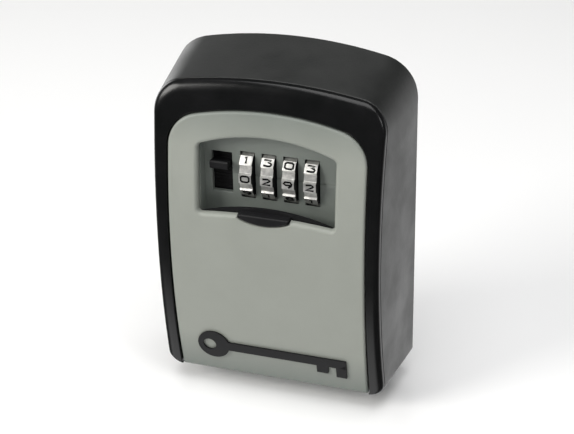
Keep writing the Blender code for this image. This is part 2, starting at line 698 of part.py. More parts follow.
def shutter():
    """The weather cover: a curved slat in the recess's side grooves, with a thumb tab."""
    foot = SHUTTER_TOP - SHUTTER_HIGH
    half = RECESS_HALF + GROOVE_DEEP - TOUCH
    outline = half_outline(half, SHUTTER_TOP, SHUTTER_ARCH, SHUTTER_CORNER, SHUTTER_CORNER / 2, foot)
    slat = plate("slat", whole_outline(outline), (SHUTTER_FRONT, SHUTTER_BACK))
    tab = plate(
        "tab", smile(TAB_HALF, TAB_SIDE, TAB_DROP, TAB_TOP),
        (-DEPTH - TAB_PROUD, SHUTTER_FRONT + SHUTTER_THICK / 2),
    )
    cover = crowned(baked(join(slat, tab)), 0.0, SHUTTER_BACK)
    return part("shutter", cover, black_matt, shutter_pivot)


# ---- dials ----

def dial_outline():
    """Ten raised teeth with a flat valley between neighbours."""
    points = []
    for digit in range(DIGITS):
        middle = digit * 360 / DIGITS
        points += arc((0, 0), DIAL_RADIUS, middle - TOOTH_HALF, middle + TOOTH_HALF, 3)
        valley_end = 360 / DIGITS - VALLEY_START
        points += arc((0, 0), DIAL_RADIUS - DIAL_VALLEY, middle + VALLEY_START, middle + valley_end, 1)
    return [(DIAL_Y + y, DIAL_Z + z) for y, z in points]


def dial(number, x):
    ring = side_plate("ring", dial_outline(), (x - DIAL_WIDE / 2, x + DIAL_WIDE / 2))
    bore = rod(
        "bore", DIAL_BORE, (x - DIAL_WIDE, DIAL_Y, DIAL_Z), (x + DIAL_WIDE, DIAL_Y, DIAL_Z), sides=32
    )
    return part(f"dial_wheel_{number}", cut(ring, bore), chrome, dial_pivots[number - 1])


def code_hub(number, x):
    """A sleeve inside the dial, with a disc beside it that has two gates, half a turn apart."""
    def along(start, end, radius, sides):
        return rod("turned", radius, (start, DIAL_Y, DIAL_Z), (end, DIAL_Y, DIAL_Z), sides=sides)

    dial_end = x + DIAL_WIDE / 2
    disc_start = dial_end + TOUCH
    disc_end = disc_start + HUB_DISC_WIDE
    sleeve = along(x - DIAL_WIDE / 2, dial_end, DIAL_BORE - TOUCH, 32)
    neck = along(x, disc_end, HUB_NECK, 24)
    disc = along(disc_start, disc_end, HUB_DISC_RADIUS, 32)
    across = (disc_start - TOUCH / 2, disc_end + PAST)
    past_rim = HUB_DISC_RADIUS * 1.2
    gates = [
        box(
            "gate", across, sorted((DIAL_Y + side * HUB_NECK, DIAL_Y + side * past_rim)),
            sorted((DIAL_Z - side * GATE_FOOT, DIAL_Z + side * past_rim)),
        )
        for side in (1, -1)
    ]
    bore = along(x - DIAL_WIDE, disc_end + PAST, SHAFT_RADIUS + SHAFT_SLACK, 24)
    hub = cut(join(sleeve, neck, cut(disc, *gates)), bore)
    return part(f"code_hub_{number}", hub, black_matt, dial_pivots[number - 1])


def hub_disc_middle(x):
    return x + DIAL_WIDE / 2 + TOUCH + HUB_DISC_WIDE / 2


def dial_shaft():
    half = CASE_HALF - TOUCH
    shaft = rod("shaft", SHAFT_RADIUS, (-half, DIAL_Y, DIAL_Z), (half, DIAL_Y, DIAL_Z))
    return part("dial_shaft", shaft, zinc, door_pivot)


def shaft_spacer():
    start = -CASE_HALF + CASE_WALL + TOUCH
    end = DIAL_XS[0] - DIAL_WIDE / 2 - TOUCH
    tube = rod("tube", SHAFT_RADIUS * 2, (start, DIAL_Y, DIAL_Z), (end, DIAL_Y, DIAL_Z))
    bore = rod(
        "tube_bore", SHAFT_RADIUS + SHAFT_SLACK, (start - PAST, DIAL_Y, DIAL_Z), (end + PAST, DIAL_Y, DIAL_Z)
    )
    return part("shaft_spacer", cut(tube, bore), black_matt, door_pivot)


# ---- springs ----

def coil(name, radius, wire, turns, length, place):
    """A wound spring along its own Z, moved to its place."""
    steps = 10
    curve = bpy.data.curves.new(name, "CURVE")
    curve.dimensions = "3D"
    curve.bevel_depth = wire
    curve.bevel_resolution = 1
    curve.use_fill_caps = True
    line = curve.splines.new("POLY")
    line.points.add(turns * steps)
    for number, point in enumerate(line.points):
        turn = 2 * pi * number / steps
        rise = length * number / (turns * steps)
        point.co = (radius * cos(turn), radius * sin(turn), rise, 1.0)
    return part(name, curve_mesh(name + "_wire", curve, place), spring_steel, door_pivot)


def latch_spring():
    top = BAR_Z - TOUCH - SPRING_WIRE
    place = Matrix.Translation((SPRING_X, -SPRING_DEPTH, top - SPRING_LONG))
    return coil("latch_spring", SPRING_RADIUS, SPRING_WIRE, SPRING_TURNS, SPRING_LONG, place)


def clutch_spring():
    start = hub_disc_middle(DIAL_XS[-1]) + HUB_DISC_WIDE / 2 + TOUCH + SPRING_WIRE
    length = CASE_HALF - CASE_WALL - TOUCH - SPRING_WIRE - start
    place = Matrix.Translation((start, DIAL_Y, DIAL_Z)) @ Matrix.Rotation(pi / 2, 4, "Y")
    return coil("clutch_spring", CLUTCH_RADIUS, SPRING_WIRE, CLUTCH_TURNS, length, place)


def detent_spring():
    """A steel leaf with one finger under each dial."""
    tip_z = DIAL_Z - DIAL_RADIUS - GAP
    base_z = CASE_FOOT + CASE_WALL + TOUCH * 2
    back_y = CASE_BACK_INNER - TOUCH
    line = [
        (back_y, base_z), (DIAL_Y + DIAL_RADIUS * 0.5, base_z), (DIAL_Y + 2.0 * MM, tip_z - 0.45 * MM),
        (DIAL_Y, tip_z - 0.3 * MM), (DIAL_Y - 1.2 * MM, tip_z - 0.6 * MM),
    ]
    ends = [DIAL_XS[0] - DIAL_WIDE / 2, DIAL_XS[-1] + DIAL_WIDE / 2]
    shape = bmesh.new()
    rows = [[shape.verts.new((x, y, z)) for y, z in line] for x in ends]
    for place in range(len(line) - 1):
        shape.faces.new((rows[0][place], rows[1][place], rows[1][place + 1], rows[0][place + 1]))
    mesh = bpy.data.meshes.new("leaf")
    shape.to_mesh(mesh)
    shape.free()
    leaf = helper("leaf", mesh)
    thick = leaf.modifiers.new("thick", "SOLIDIFY")
    thick.thickness = LEAF_THICK
    thick.offset = 0.0
    for x in DIAL_XS[:-1]:
        between = (x + DIAL_WIDE / 2 - LEAF_SIDE, x + DIAL_PITCH - DIAL_WIDE / 2 + LEAF_SIDE)
        cut(leaf, box("between", between, (-DEPTH, DIAL_Y + DIAL_RADIUS * 0.5), (0, DIAL_Z)))
    return part("detent_spring", leaf, spring_steel, door_pivot)


# ---- release and latch ----

def tongue_front():
    return CASE_FRONT + TOUCH


def release_button():
    """The black slider behind the window: a ribbed plate with a nub that stands out of it."""
    half = WINDOW_HALF + BUTTON_LAP
    front = FLOOR_BACK_Y + TOUCH
    back = front + BUTTON_THICK
    foot = DIAL_Z - WINDOW_HIGH / 2 - BUTTON_LAP
    top = DIAL_Z + WINDOW_HIGH / 2 + RELEASE_TRAVEL + BUTTON_LAP
    slab = box("slab", (WINDOW_X - half, WINDOW_X + half), (front, back), (foot, top))
    nub_z = DIAL_Z + NUB_ABOVE_DIALS
    nub = box(
        "nub", (WINDOW_X - WINDOW_HALF + GAP, WINDOW_X + WINDOW_HALF - GAP),
        (FLOOR_Y - NUB_PROUD, front + BUTTON_THICK / 2), (nub_z - NUB_HIGH / 2, nub_z + NUB_HIGH / 2),
    )
    peg = box(
        "peg", (WINDOW_X - PEG_HALF, WINDOW_X + PEG_HALF), (front + BUTTON_THICK / 2, back + PEG_LONG),
        (top - PEG_BELOW_TOP - PEG_HIGH, top - PEG_BELOW_TOP),
    )
    join(slab, nub, peg)
    count = int((top - foot) / RIDGE_PITCH)
    for place in range(1, count):
        z = foot + place * RIDGE_PITCH
        if abs(z - nub_z) > NUB_HIGH / 2 + RIDGE_DEEP:
            cut(
                slab,
                box(
                    "furrow", (WINDOW_X - WINDOW_HALF, WINDOW_X + WINDOW_HALF),
                    (front - PAST, front + RIDGE_DEEP), (z - RIDGE_GAP / 2, z + RIDGE_GAP / 2),
                ),
            )
    return part("release_button", slab, black_matt, door_pivot)


def latch_slide():
    """The fence comb over the dials, with the tongue that locks the door."""
    finger_foot = DIAL_Z + HUB_DISC_RADIUS + GAP
    finger_front = DIAL_Y + HUB_NECK + FINGER_OFF_NECK
    finger_y = (finger_front, finger_front + FINGER_DEEP)
    bar_z = (BAR_Z, BAR_Z + BAR_THICK)
    right = CASE_HALF - CASE_WALL - TOUCH
    bar = box("bar", (WINDOW_X - BAR_REACH, right), (finger_y[0] - LAP, -SPRING_DEPTH + SPRING_ROOM), bar_z)
    fingers = [
        box(
            "finger", (hub_disc_middle(x) - FINGER_WIDE / 2, hub_disc_middle(x) + FINGER_WIDE / 2),
            finger_y, (finger_foot, BAR_Z + BAR_THICK / 2),
        )
        for x in DIAL_XS
    ]
    tongue_y = (tongue_front(), tongue_front() + TONGUE_THICK)
    shelf = box(
        "shelf", (-TONGUE_HALF + LAP, TONGUE_HALF - LAP), (tongue_y[0] + LAP, finger_y[1] + LAP),
        (bar_z[0] + LAP, bar_z[1] - LAP),
    )
    tongue = box("tongue", (-TONGUE_HALF, TONGUE_HALF), tongue_y, (bar_z[0], DOOR_TOP))
    button_back = FLOOR_BACK_Y + TOUCH + BUTTON_THICK
    arm_z = (DIAL_Z + WINDOW_HIGH / 2 + RELEASE_TRAVEL + TOUCH, BAR_Z + BAR_THICK / 2)
    arm = box(
        "arm", (WINDOW_X - PEG_HALF, WINDOW_X + PEG_HALF),
        (button_back + ARM_OFF_BUTTON, finger_y[1] - LAP), arm_z,
    )
    return part("latch_slide", join(bar, shelf, tongue, arm, *fingers), zinc, door_pivot)


# ---- lock case and lever ----

def lock_case():
    """An open-fronted box over the mechanism, with four ears, bearing holes and a ledge."""
    half = CASE_HALF
    shell = box("case", (-half, half), (CASE_FRONT, CASE_BACK), (CASE_FOOT, CASE_TOP))
    hollow = box(
        "case_hollow", (-half + CASE_WALL, half - CASE_WALL), (CASE_FRONT - PAST, CASE_BACK_INNER),
        (CASE_FOOT + CASE_WALL, CASE_TOP - CASE_WALL),
    )
    under_rim = DOOR_RIM + GAP
    shell_limit = plate("shell_limit", door_outline(under_rim, 0.0), (-DEPTH, 0.0))
    hollow_limit = plate("hollow_limit", door_outline(under_rim + CASE_WALL, 0.0), (-DEPTH, PAST))
    boolean(shell, [shell_limit], "INTERSECT")
    boolean(hollow, [hollow_limit], "INTERSECT")
    cut(shell, hollow)
    ears = [
        box(
            "ear", sorted((x, x - (1 if x > 0 else -1) * (EAR_X - CASE_HALF + CASE_WALL / 2))),
            (EAR_BACK, EAR_BACK + CASE_WALL), (z - EAR_HALF, z + EAR_HALF),
        )
        for x, z in CASE_EARS
    ]
    ear_ends = [
        rod("ear_end", EAR_HALF, (x, EAR_BACK, z), (x, EAR_BACK + CASE_WALL, z)) for x, z in CASE_EARS
    ]
    spring_foot = BAR_Z - TOUCH - SPRING_WIRE * 2 - SPRING_LONG - TOUCH
    ledge = box(
        "ledge", (SPRING_X - SPRING_ROOM, half - CASE_WALL / 2),
        (-SPRING_DEPTH - SPRING_ROOM, CASE_BACK_INNER + CASE_WALL / 2),
        (spring_foot - LEDGE_THICK, spring_foot),
    )
    join(shell, *ears, *ear_ends, ledge)
    for x, z in CASE_EARS:
        cut(shell, rod("ear_way", SCREW_RADIUS + THREAD_SLACK, (x, -DEPTH, z), (x, 0, z), sides=16))
    cut(
        shell,
        rod(
            "bearing", SHAFT_RADIUS + SHAFT_SLACK, (-half - PAST, DIAL_Y, DIAL_Z),
            (half + PAST, DIAL_Y, DIAL_Z),
        ),
        box(
            "tongue_slot", (-TONGUE_HALF - GAP, TONGUE_HALF + GAP),
            (CASE_FRONT - PAST, tongue_front() + TONGUE_THICK + GAP),
            (CASE_TOP - CASE_WALL * 2, CASE_TOP + PAST),
        ),
        box(
            "lever_slot", (-LEVER_NECK_HALF - GAP, LEVER_NECK_HALF + LEVER_TRAVEL + GAP),
            (CASE_BACK_INNER - PAST, CASE_BACK + PAST),
            (DIAL_Z - LEVER_NECK_HIGH / 2 - GAP, DIAL_Z + LEVER_NECK_HIGH / 2 + GAP),
        ),
    )
    return part("lock_case", shell, zinc, door_pivot)


def case_screw(number, x, z):
    face = EAR_BACK + CASE_WALL + TOUCH
    head = rod("head", HEAD_RADIUS, (x, face + HEAD_THICK, z), (x, face, z), sides=20)
    end = EAR_BACK - CASE_SCREW_LONG
    shank = rod("shank", SCREW_RADIUS, (x, face + HEAD_THICK / 2, z), (x, end, z), sides=12)
    cross = driver_cross(x, z, (face + HEAD_THICK - CROSS_DEEP, face + HEAD_THICK + PAST))
    return part(f"case_screw_{number}", cut(join(head, shank), *cross), zinc, door_pivot)


def code_lever():
    """The lever on the back of the lock case that frees the hubs to set a code."""
    front = CASE_BACK + TOUCH
    high = (DIAL_Z - LEVER_HIGH / 2, DIAL_Z + LEVER_HIGH / 2)
    bar = box("lever_bar", (-LEVER_LONG / 2, LEVER_LONG / 2), (front, front + LEVER_THICK), high)
    neck = box(
        "lever_neck", (-LEVER_NECK_HALF, LEVER_NECK_HALF), (CASE_BACK_INNER, front + LEVER_THICK / 2),
        (DIAL_Z - LEVER_NECK_HIGH / 2, DIAL_Z + LEVER_NECK_HIGH / 2),
    )
    grip = box(
        "lever_grip", (-LEVER_LONG / 2, LEVER_GRIP_WIDE - LEVER_LONG / 2),
        (front, front + LEVER_THICK + LEVER_GRIP_OUT), high,
    )
    return part("code_lever", join(bar, neck, grip), black_matt, door_pivot)


# ---- assembly ----

for left_over in list(bpy.data.objects):
    bpy.data.objects.remove(left_over)

assembly = collection_named("key_lock_box")
cutters = collection_named("cutters")
origin = bpy.data.objects.new("wall_face_centre", None)
assembly.objects.link(origin)
origin.location = (0, 0, -HEIGHT / 2)
door_pivot = pivot("door_hinge_axis", (0, -PIN_DEPTH, PIN_HEIGHT), origin)
shutter_pivot = pivot("shutter_lift_axis", (0, CROWN_RADIUS - DEPTH, CROWN_HEIGHT), door_pivot)
dial_pivots = [
    pivot(f"dial_{number}_axis", (x, DIAL_Y, DIAL_Z), door_pivot) for number, x in enumerate(DIAL_XS, 1)
]

black_satin = material("black_satin", (0.035, 0.036, 0.036), 0.45)
black_gloss = material("black_gloss", (0.010, 0.010, 0.011), 0.22)
black_matt = material("black_matt", (0.012, 0.012, 0.013), 0.55)
door_grey = material("door_grey", (0.34, 0.36, 0.32), 0.5)
chrome = material("chrome", (0.80, 0.80, 0.78), 0.15, 1.0)
zinc = material("zinc", (0.60, 0.60, 0.60), 0.4, 1.0)
spring_steel = material("spring_steel", (0.45, 0.45, 0.46), 0.35, 1.0)

rear_housing()
front_bezel()
for screw_number, (screw_x, screw_z, _) in enumerate(screw_places(), 1):
    bezel_screw(screw_number, screw_x, screw_z)
hinge_pin()
strike_plate()

door_panel()
inlay()
shutter()
for dial_number, dial_x in enumerate(DIAL_XS, 1):
    dial(dial_number, dial_x)
    code_hub(dial_number, dial_x)
dial_shaft()
shaft_spacer()

release_button()
latch_slide()
latch_spring()
clutch_spring()
detent_spring()
lock_case()
for screw_number, (screw_x, screw_z) in enumerate(CASE_EARS, 1):
    case_screw(screw_number, screw_x, screw_z)
code_lever()
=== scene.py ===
from math import acos, atan2, ceil, cos, hypot, pi, radians, sin, sqrt

import bmesh
import bpy
from mathutils import Matrix, Vector


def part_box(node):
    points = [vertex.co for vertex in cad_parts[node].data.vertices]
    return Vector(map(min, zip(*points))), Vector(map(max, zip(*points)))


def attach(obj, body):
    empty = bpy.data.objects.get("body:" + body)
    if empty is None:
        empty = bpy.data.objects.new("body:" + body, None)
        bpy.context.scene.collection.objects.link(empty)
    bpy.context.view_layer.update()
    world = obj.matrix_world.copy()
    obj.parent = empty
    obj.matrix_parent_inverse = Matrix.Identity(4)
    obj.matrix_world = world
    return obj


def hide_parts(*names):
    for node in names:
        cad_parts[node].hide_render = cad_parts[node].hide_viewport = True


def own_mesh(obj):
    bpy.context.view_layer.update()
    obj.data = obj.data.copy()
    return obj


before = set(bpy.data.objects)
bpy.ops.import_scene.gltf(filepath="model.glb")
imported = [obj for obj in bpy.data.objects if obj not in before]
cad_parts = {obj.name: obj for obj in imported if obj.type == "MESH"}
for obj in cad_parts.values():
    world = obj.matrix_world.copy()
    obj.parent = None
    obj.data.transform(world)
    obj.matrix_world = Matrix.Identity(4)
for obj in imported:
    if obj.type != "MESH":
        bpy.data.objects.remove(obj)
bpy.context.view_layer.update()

MM = 0.001
base_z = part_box("rear_housing")[0].z


# ---- Studio ----
# A pale card lies under the box, with soft boxes round it. A low riser under the foot keeps the
# open door clear of the card. The camera looks slightly down on the box from its right.

def soft_box(name, place, aim, width, height, power, colour=(1.0, 1.0, 1.0)):
    data = bpy.data.lights.new(name, "AREA")
    data.shape = "RECTANGLE"
    data.size, data.size_y = width, height
    data.energy = power
    data.color = colour
    lamp = bpy.data.objects.new(name, data)
    bpy.context.scene.collection.objects.link(lamp)
    lamp.location = place
    lamp.rotation_euler = (Vector(aim) - Vector(place)).to_track_quat("-Z", "Y").to_euler()
    return lamp


def set_camera():
    azimuth, elevation, roll = radians(18.70), radians(28.57), radians(-1.15)
    distance, lens = 0.54944, 103.81
    target = Vector((1.62 * MM, -17.0 * MM, base_z + 56.8 * MM))
    back = Vector((sin(azimuth) * cos(elevation), -cos(azimuth) * cos(elevation), sin(elevation)))
    data = bpy.data.cameras.new("camera")
    data.lens = lens
    data.sensor_width = 36.0
    data.clip_start, data.clip_end = 0.01, 20.0
    camera = bpy.data.objects.new("camera", data)
    bpy.context.scene.collection.objects.link(camera)
    turn = back.to_track_quat("Z", "Y").to_matrix().to_4x4() @ Matrix.Rotation(roll, 4, "Z")
    camera.matrix_world = Matrix.Translation(target + back * distance) @ turn
    bpy.context.scene.camera = camera


def select_only(*objects):
    bpy.ops.object.select_all(action="DESELECT")
    for each in objects:
        each.select_set(True)
    bpy.context.view_layer.objects.active = objects[0]


set_camera()

CARD_SIZE = 6.0
RISER_WIDE, RISER_DEEP, RISER_HIGH, RISER_Y = 60.0 * MM, 13.0 * MM, 7.0 * MM, -8.5 * MM
FOOT_GAP = 0.035 * MM            # between the riser and the box's foot
bpy.ops.object.select_all(action="DESELECT")
bpy.ops.mesh.primitive_plane_add(size=CARD_SIZE, location=(0, 0, base_z - RISER_HIGH))
card = bpy.context.active_object
card.name = "card"
card_paint = bpy.data.materials.new("card_paint")
card_paint.use_nodes = True
card_shader = card_paint.node_tree.nodes["Principled BSDF"]
card_shader.inputs["Base Color"].default_value = (0.99, 0.99, 0.99, 1)
card_shader.inputs["Emission Color"].default_value = (1, 1, 1, 1)
card_shader.inputs["Emission Strength"].default_value = 0.03
card_shader.inputs["Roughness"].default_value = 0.12
card.data.materials.append(card_paint)
card.visible_glossy = False
bpy.ops.object.select_all(action="DESELECT")
bpy.ops.mesh.primitive_cube_add(
    size=1.0, location=(0, RISER_Y, base_z - RISER_HIGH / 2),
    scale=(RISER_WIDE, RISER_DEEP, RISER_HIGH - 2 * FOOT_GAP),
)
riser = bpy.context.active_object
riser.name = "riser"
riser.data.materials.append(card_paint)

world = bpy.data.worlds.new("studio")
bpy.context.scene.world = world
world.use_nodes = True


def glow(tree, towards, start, end, strength):
    """Light from one side of the room: none at start degrees off the axis, all of it at end."""
    place = tree.nodes.new("ShaderNodeTexCoord")
    along = tree.nodes.new("ShaderNodeVectorMath")
    along.operation = "DOT_PRODUCT"
    along.inputs[1].default_value = Vector(towards).normalized()
    fade = tree.nodes.new("ShaderNodeMapRange")
    fade.interpolation_type = "SMOOTHSTEP"
    fade.inputs["From Min"].default_value = cos(radians(start))
    fade.inputs["From Max"].default_value = cos(radians(end))
    fade.inputs["To Max"].default_value = strength
    tree.links.new(place.outputs["Generated"], along.inputs[0])
    tree.links.new(along.outputs["Value"], fade.inputs["Value"])
    return fade.outputs["Result"]


AMBIENT = 0.15
room = world.node_tree
total = None
for towards, start, end, strength in (
    ((0.44, 0.76, -0.40), 50, 15, 1.1),
    ((-0.85, 0.50, 0.00), 35, 8, 3.0),
    ((-0.28, -0.39, -0.88), 30, 12, 1.4),
    ((-0.28, 0.83, 0.48), 22, 8, 0.5),
):
    side = glow(room, towards, start, end, strength)
    add = room.nodes.new("ShaderNodeMath")
    add.operation = "ADD"
    room.links.new(side, add.inputs[0])
    add.inputs[1].default_value = AMBIENT
    if total:
        room.links.new(total, add.inputs[1])
    total = add.outputs["Value"]
room.nodes["Background"].inputs["Color"].default_value = (1, 1, 1, 1)
room.links.new(total, room.nodes["Background"].inputs["Strength"])
bpy.context.scene.view_settings.view_transform = "Standard"

soft_box("key_box", (-0.75, -0.72, 0.52), (0, 0, 0), 0.5, 0.5, 9.2, (1.0, 0.985, 0.95))
soft_box("top_box", (0.1, -0.25, 1.1), (0, 0, 0), 0.9, 0.9, 10.0)
soft_box("edge_box", (0.68, -0.51, 0.50), (0, 0, 0), 0.16, 0.30, 0.9)


# ---- Rear housing ----
# A zinc casting in satin black paint: a deep tub that narrows to the front, open at its mouth.
# Its front rim follows the crown of the door. The bosses take the four bezel screws.

WIDTH, HEIGHT, DEPTH = 83.0 * MM, 115.0 * MM, 35.2 * MM
CROWN_RADIUS, CROWN_HEIGHT = 221.0 * MM, 51.5 * MM
TAPER_DEPTH, SIDE_TAPER, TOP_TAPER = 27.0 * MM, 2.7 * MM, 6.0 * MM
BACK_ARCH, BACK_CORNER, BACK_FOOT = 142.0 * MM, 13.9 * MM, 3.0 * MM
FRONT_ARCH, FRONT_CORNER, FRONT_FOOT = 205.0 * MM, 10.1 * MM, 4.2 * MM
HOUSING_WALL, HOUSING_BACK = 3.5 * MM, 3.0 * MM
BEZEL_THICK, SEAM_GAP, GAP = 2.1 * MM, 0.3 * MM, 0.4 * MM
DOOR_HALF, DOOR_TOP = WIDTH / 2 - 8.2 * MM, HEIGHT - 15.0 * MM
DOOR_ARCH, DOOR_CORNER, DOOR_FOOT = 106.0 * MM, 11.3 * MM, 0.8 * MM
SCREW_PLACES = [(30.0 * MM, 101.5 * MM, 3.0 * MM), (36.2 * MM, 16.0 * MM, 2.3 * MM)]   # x, z, boss
SCREW_WAY, HEAD_WAY, HEAD_SINK = 1.1 * MM, 2.2 * MM, 2.0 * MM
WALL_HOLE_X, WALL_HOLE_MARGIN, WALL_HOLE = 22.0 * MM, 20.0 * MM, 2.6 * MM
PIN_DEPTH, PIN_HEIGHT, PIN_HOLE, PIN_IN_LUG = 24.5 * MM, 4.2 * MM, 1.28 * MM, 1.8 * MM
LUG_WIDE, LUG_Y, LUG_Z = 2.4 * MM, (-26.54 * MM, -19.74 * MM), (1.0 * MM, 8.4 * MM)
FOOT_ROOM_Y, FOOT_ROOM_HIGH = -17.5 * MM, 4.2 * MM


def arc(middle, radius, start, end, steps):
    angles = [radians(start + (end - start) * step / steps) for step in range(steps + 1)]
    return [(middle[0] + radius * cos(a), middle[1] + radius * sin(a)) for a in angles]


def half_outline(half, top, arch, corner, foot, base=0.0):
    """The right half of an arched outline, from its foot up to the middle of the arch."""
    arch_z = top - arch
    corner_x = half - corner
    corner_z = arch_z + sqrt((arch - corner) ** 2 - corner_x**2)
    lean = atan2(corner_z - arch_z, corner_x) * 180 / pi
    side = corner_z - base - foot
    points = arc((half - foot, base + foot), foot, -90, 0, 8)
    points += [(half, base + foot + side * step / 48) for step in range(1, 48)]
    points += arc((corner_x, corner_z), corner, 0, lean, 20)
    points += arc((0.0, arch_z), arch, lean, 90, 24)[1:]
    return points


def whole_outline(half):
    return half + [(-x, z) for x, z in reversed(half[:-1])]


def shell_outline(inset=0.0):
    """(x, z) of the shell at the wall and at TAPER_DEPTH, pulled in by a wall's thickness."""
    back = half_outline(
        WIDTH / 2 - inset, HEIGHT - inset, BACK_ARCH - inset, BACK_CORNER - inset,
        max(BACK_FOOT - inset, MM), inset,
    )
    front = half_outline(
        WIDTH / 2 - SIDE_TAPER - inset, HEIGHT - TOP_TAPER - inset, FRONT_ARCH - inset,
        FRONT_CORNER - inset, max(FRONT_FOOT - inset, MM), inset,
    )
    return list(zip(whole_outline(back), whole_outline(front)))


def sag(z):
    return CROWN_RADIUS - sqrt(CROWN_RADIUS**2 - (z - CROWN_HEIGHT) ** 2)


def shell_point(back, front, depth):
    share = depth / TAPER_DEPTH
    return (back[0] + (front[0] - back[0]) * share, -depth, back[1] + (front[1] - back[1]) * share)


def crowned_point(back, front, below):
    point = shell_point(back, front, DEPTH - below - sag(front[1]))
    return shell_point(back, front, DEPTH - below - sag(point[2]))


def mesh_object(name, points, faces):
    mesh = bpy.data.meshes.new(name)
    mesh.from_pydata([tuple(point) for point in points], [], faces)
    made = bpy.data.objects.new(name, mesh)
    bpy.context.scene.collection.objects.link(made)
    select_only(made)
    bpy.ops.object.mode_set(mode="EDIT")
    bpy.ops.mesh.select_all(action="SELECT")
    bpy.ops.mesh.remove_doubles(threshold=1e-6)
    bpy.ops.mesh.normals_make_consistent(inside=False)
    bpy.ops.object.mode_set(mode="OBJECT")
    return made


def lofted(name, rows):
    """A skin over rows of points, capped at both ends."""
    count = len(rows[0])
    faces = []
    for row in range(len(rows) - 1):
        for place in range(count):
            after = (place + 1) % count
            low, high = row * count, (row + 1) * count
            faces.append((low + place, low + after, high + after, high + place))
    faces.append(tuple(range(count)))
    faces.append(tuple(range((len(rows) - 1) * count, len(rows) * count)))
    return mesh_object(name, [point for row in rows for point in row], faces)


def offset(outline, distance):
    """The same outline, grown by a distance, or shrunk by a negative one."""
    grown = []
    for place, (x, z) in enumerate(outline):
        before, after = outline[place - 1], outline[(place + 1) % len(outline)]
        coming = Vector((z - before[1], before[0] - x)).normalized()
        going = Vector((after[1] - z, x - after[0])).normalized()
        reach = (coming + going) * distance / max(1 + coming.dot(going), 0.3)
        grown.append((x + reach.x, z + reach.y))
    return grown


def funnel(name, outline, radius, y_front, y_end, steps=6):
    """A cutter for a hole whose front edge is rounded: wide in front of y_front, then true."""
    rows = [(radius, y_front - MM)]
    for step in range(steps + 1):
        turn = radians(90 * step / steps)
        rows.append((radius * (1 - sin(turn)), y_front + radius * (1 - cos(turn))))
    rows.append((0.0, y_end))
    return lofted(name, [[(x, y, z) for x, z in offset(outline, wide)] for wide, y in rows])


def rounded_plate(name, outline, radius, y_front, y_back, steps=6):
    """A plate with its front edge rounded."""
    rows = []
    for step in range(steps + 1):
        turn = radians(90 * step / steps)
        rows.append((-radius * (1 - sin(turn)), y_front + radius * (1 - cos(turn))))
    rows.append((0.0, y_back))
    return lofted(name, [[(x, y, z) for x, z in offset(outline, wide)] for wide, y in rows])


def plate(name, outline, y_low, y_high):
    """A flat plate: an outline in X and Z, between two values of y."""
    return lofted(name, [[(x, y, z) for x, z in outline] for y in (y_low, y_high)])


def side_plate(name, outline, x_low, x_high):
    return lofted(name, [[(x, y, z) for y, z in outline] for x in (x_low, x_high)])


def block(name, x, y, z):
    bpy.ops.object.select_all(action="DESELECT")
    bpy.ops.mesh.primitive_cube_add(
        size=1.0, location=[(a + b) / 2 for a, b in (x, y, z)], scale=[b - a for a, b in (x, y, z)]
    )
    made = bpy.context.active_object
    made.name = name
    bpy.ops.object.transform_apply(location=True, rotation=True, scale=True)
    return made


def rod(name, radius, start, end, sides=48):
    start, end = Vector(start), Vector(end)
    bpy.ops.object.select_all(action="DESELECT")
    bpy.ops.mesh.primitive_cylinder_add(
        vertices=sides, radius=radius, depth=(end - start).length, location=(start + end) / 2,
        rotation=(end - start).to_track_quat("Z", "Y").to_euler(),
    )
    made = bpy.context.active_object
    made.name = name
    bpy.ops.object.transform_apply(location=True, rotation=True, scale=True)
    return made


def combine(target, operation, others, solver="EXACT"):
    """Applies one Boolean for each other piece, and removes it."""
    for other in others:
        select_only(target)
        bpy.ops.object.modifier_add(type="BOOLEAN")
        step = target.modifiers[-1]
        step.operation = operation
        step.solver = solver
        step.object = other
        bpy.ops.object.modifier_apply(modifier=step.name)
        bpy.data.objects.remove(other)
    return target


def cut(target, *others):
    return combine(target, "DIFFERENCE", others)


def drill(target, *others):
    return combine(target, "DIFFERENCE", others, "MANIFOLD")


def join(target, *others):
    return combine(target, "UNION", others)


def bevel_where(piece, chosen, width, segments=3):
    """Rounds the edges that chosen(edge) picks."""
    select_only(piece)
    bpy.ops.object.mode_set(mode="EDIT")
    bpy.ops.mesh.select_mode(type="EDGE")
    bpy.ops.mesh.select_all(action="DESELECT")
    shape = bmesh.from_edit_mesh(piece.data)
    for edge in shape.edges:
        edge.select_set(len(edge.link_faces) == 2 and chosen(edge))
    bmesh.update_edit_mesh(piece.data)
    bpy.ops.mesh.bevel(offset=width, segments=segments, profile=0.5, clamp_overlap=True)
    bpy.ops.object.mode_set(mode="OBJECT")
    return piece


def is_sharp(edge, degrees=40):
    return edge.calc_face_angle(0.0) > radians(degrees)


def smoothed(piece, angle=35):
    """Smooth shading with crisp corners, and normals that leave the flat faces flat."""
    select_only(piece)
    bpy.ops.object.shade_smooth_by_angle(angle=radians(angle))
    bpy.ops.object.modifier_add(type="WEIGHTED_NORMAL")
    piece.modifiers[-1].keep_sharp = True
    bpy.ops.object.modifier_apply(modifier=piece.modifiers[-1].name)
    return piece


def set_down(piece):
    """Moves a piece that was measured from the base to its place in the frame."""
    piece.data.transform(Matrix.Translation((0, 0, base_z)))
    return piece


def fit(piece, paint, body, slot, *nodes):
    piece.data.materials.clear()
    piece.data.materials.append(paint)
    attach(piece, body)
    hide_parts(*nodes)
    return piece


def finish_nodes(name, colour, roughness, metallic=0.0):
    """A new finish, with its node tree and its shader."""
    paint = bpy.data.materials.new(name)
    paint.use_nodes = True
    tree = paint.node_tree
    shader = tree.nodes["Principled BSDF"]
    shader.inputs["Base Color"].default_value = (*colour, 1.0)
    shader.inputs["Roughness"].default_value = roughness
    shader.inputs["Metallic"].default_value = metallic
    return paint, tree, shader


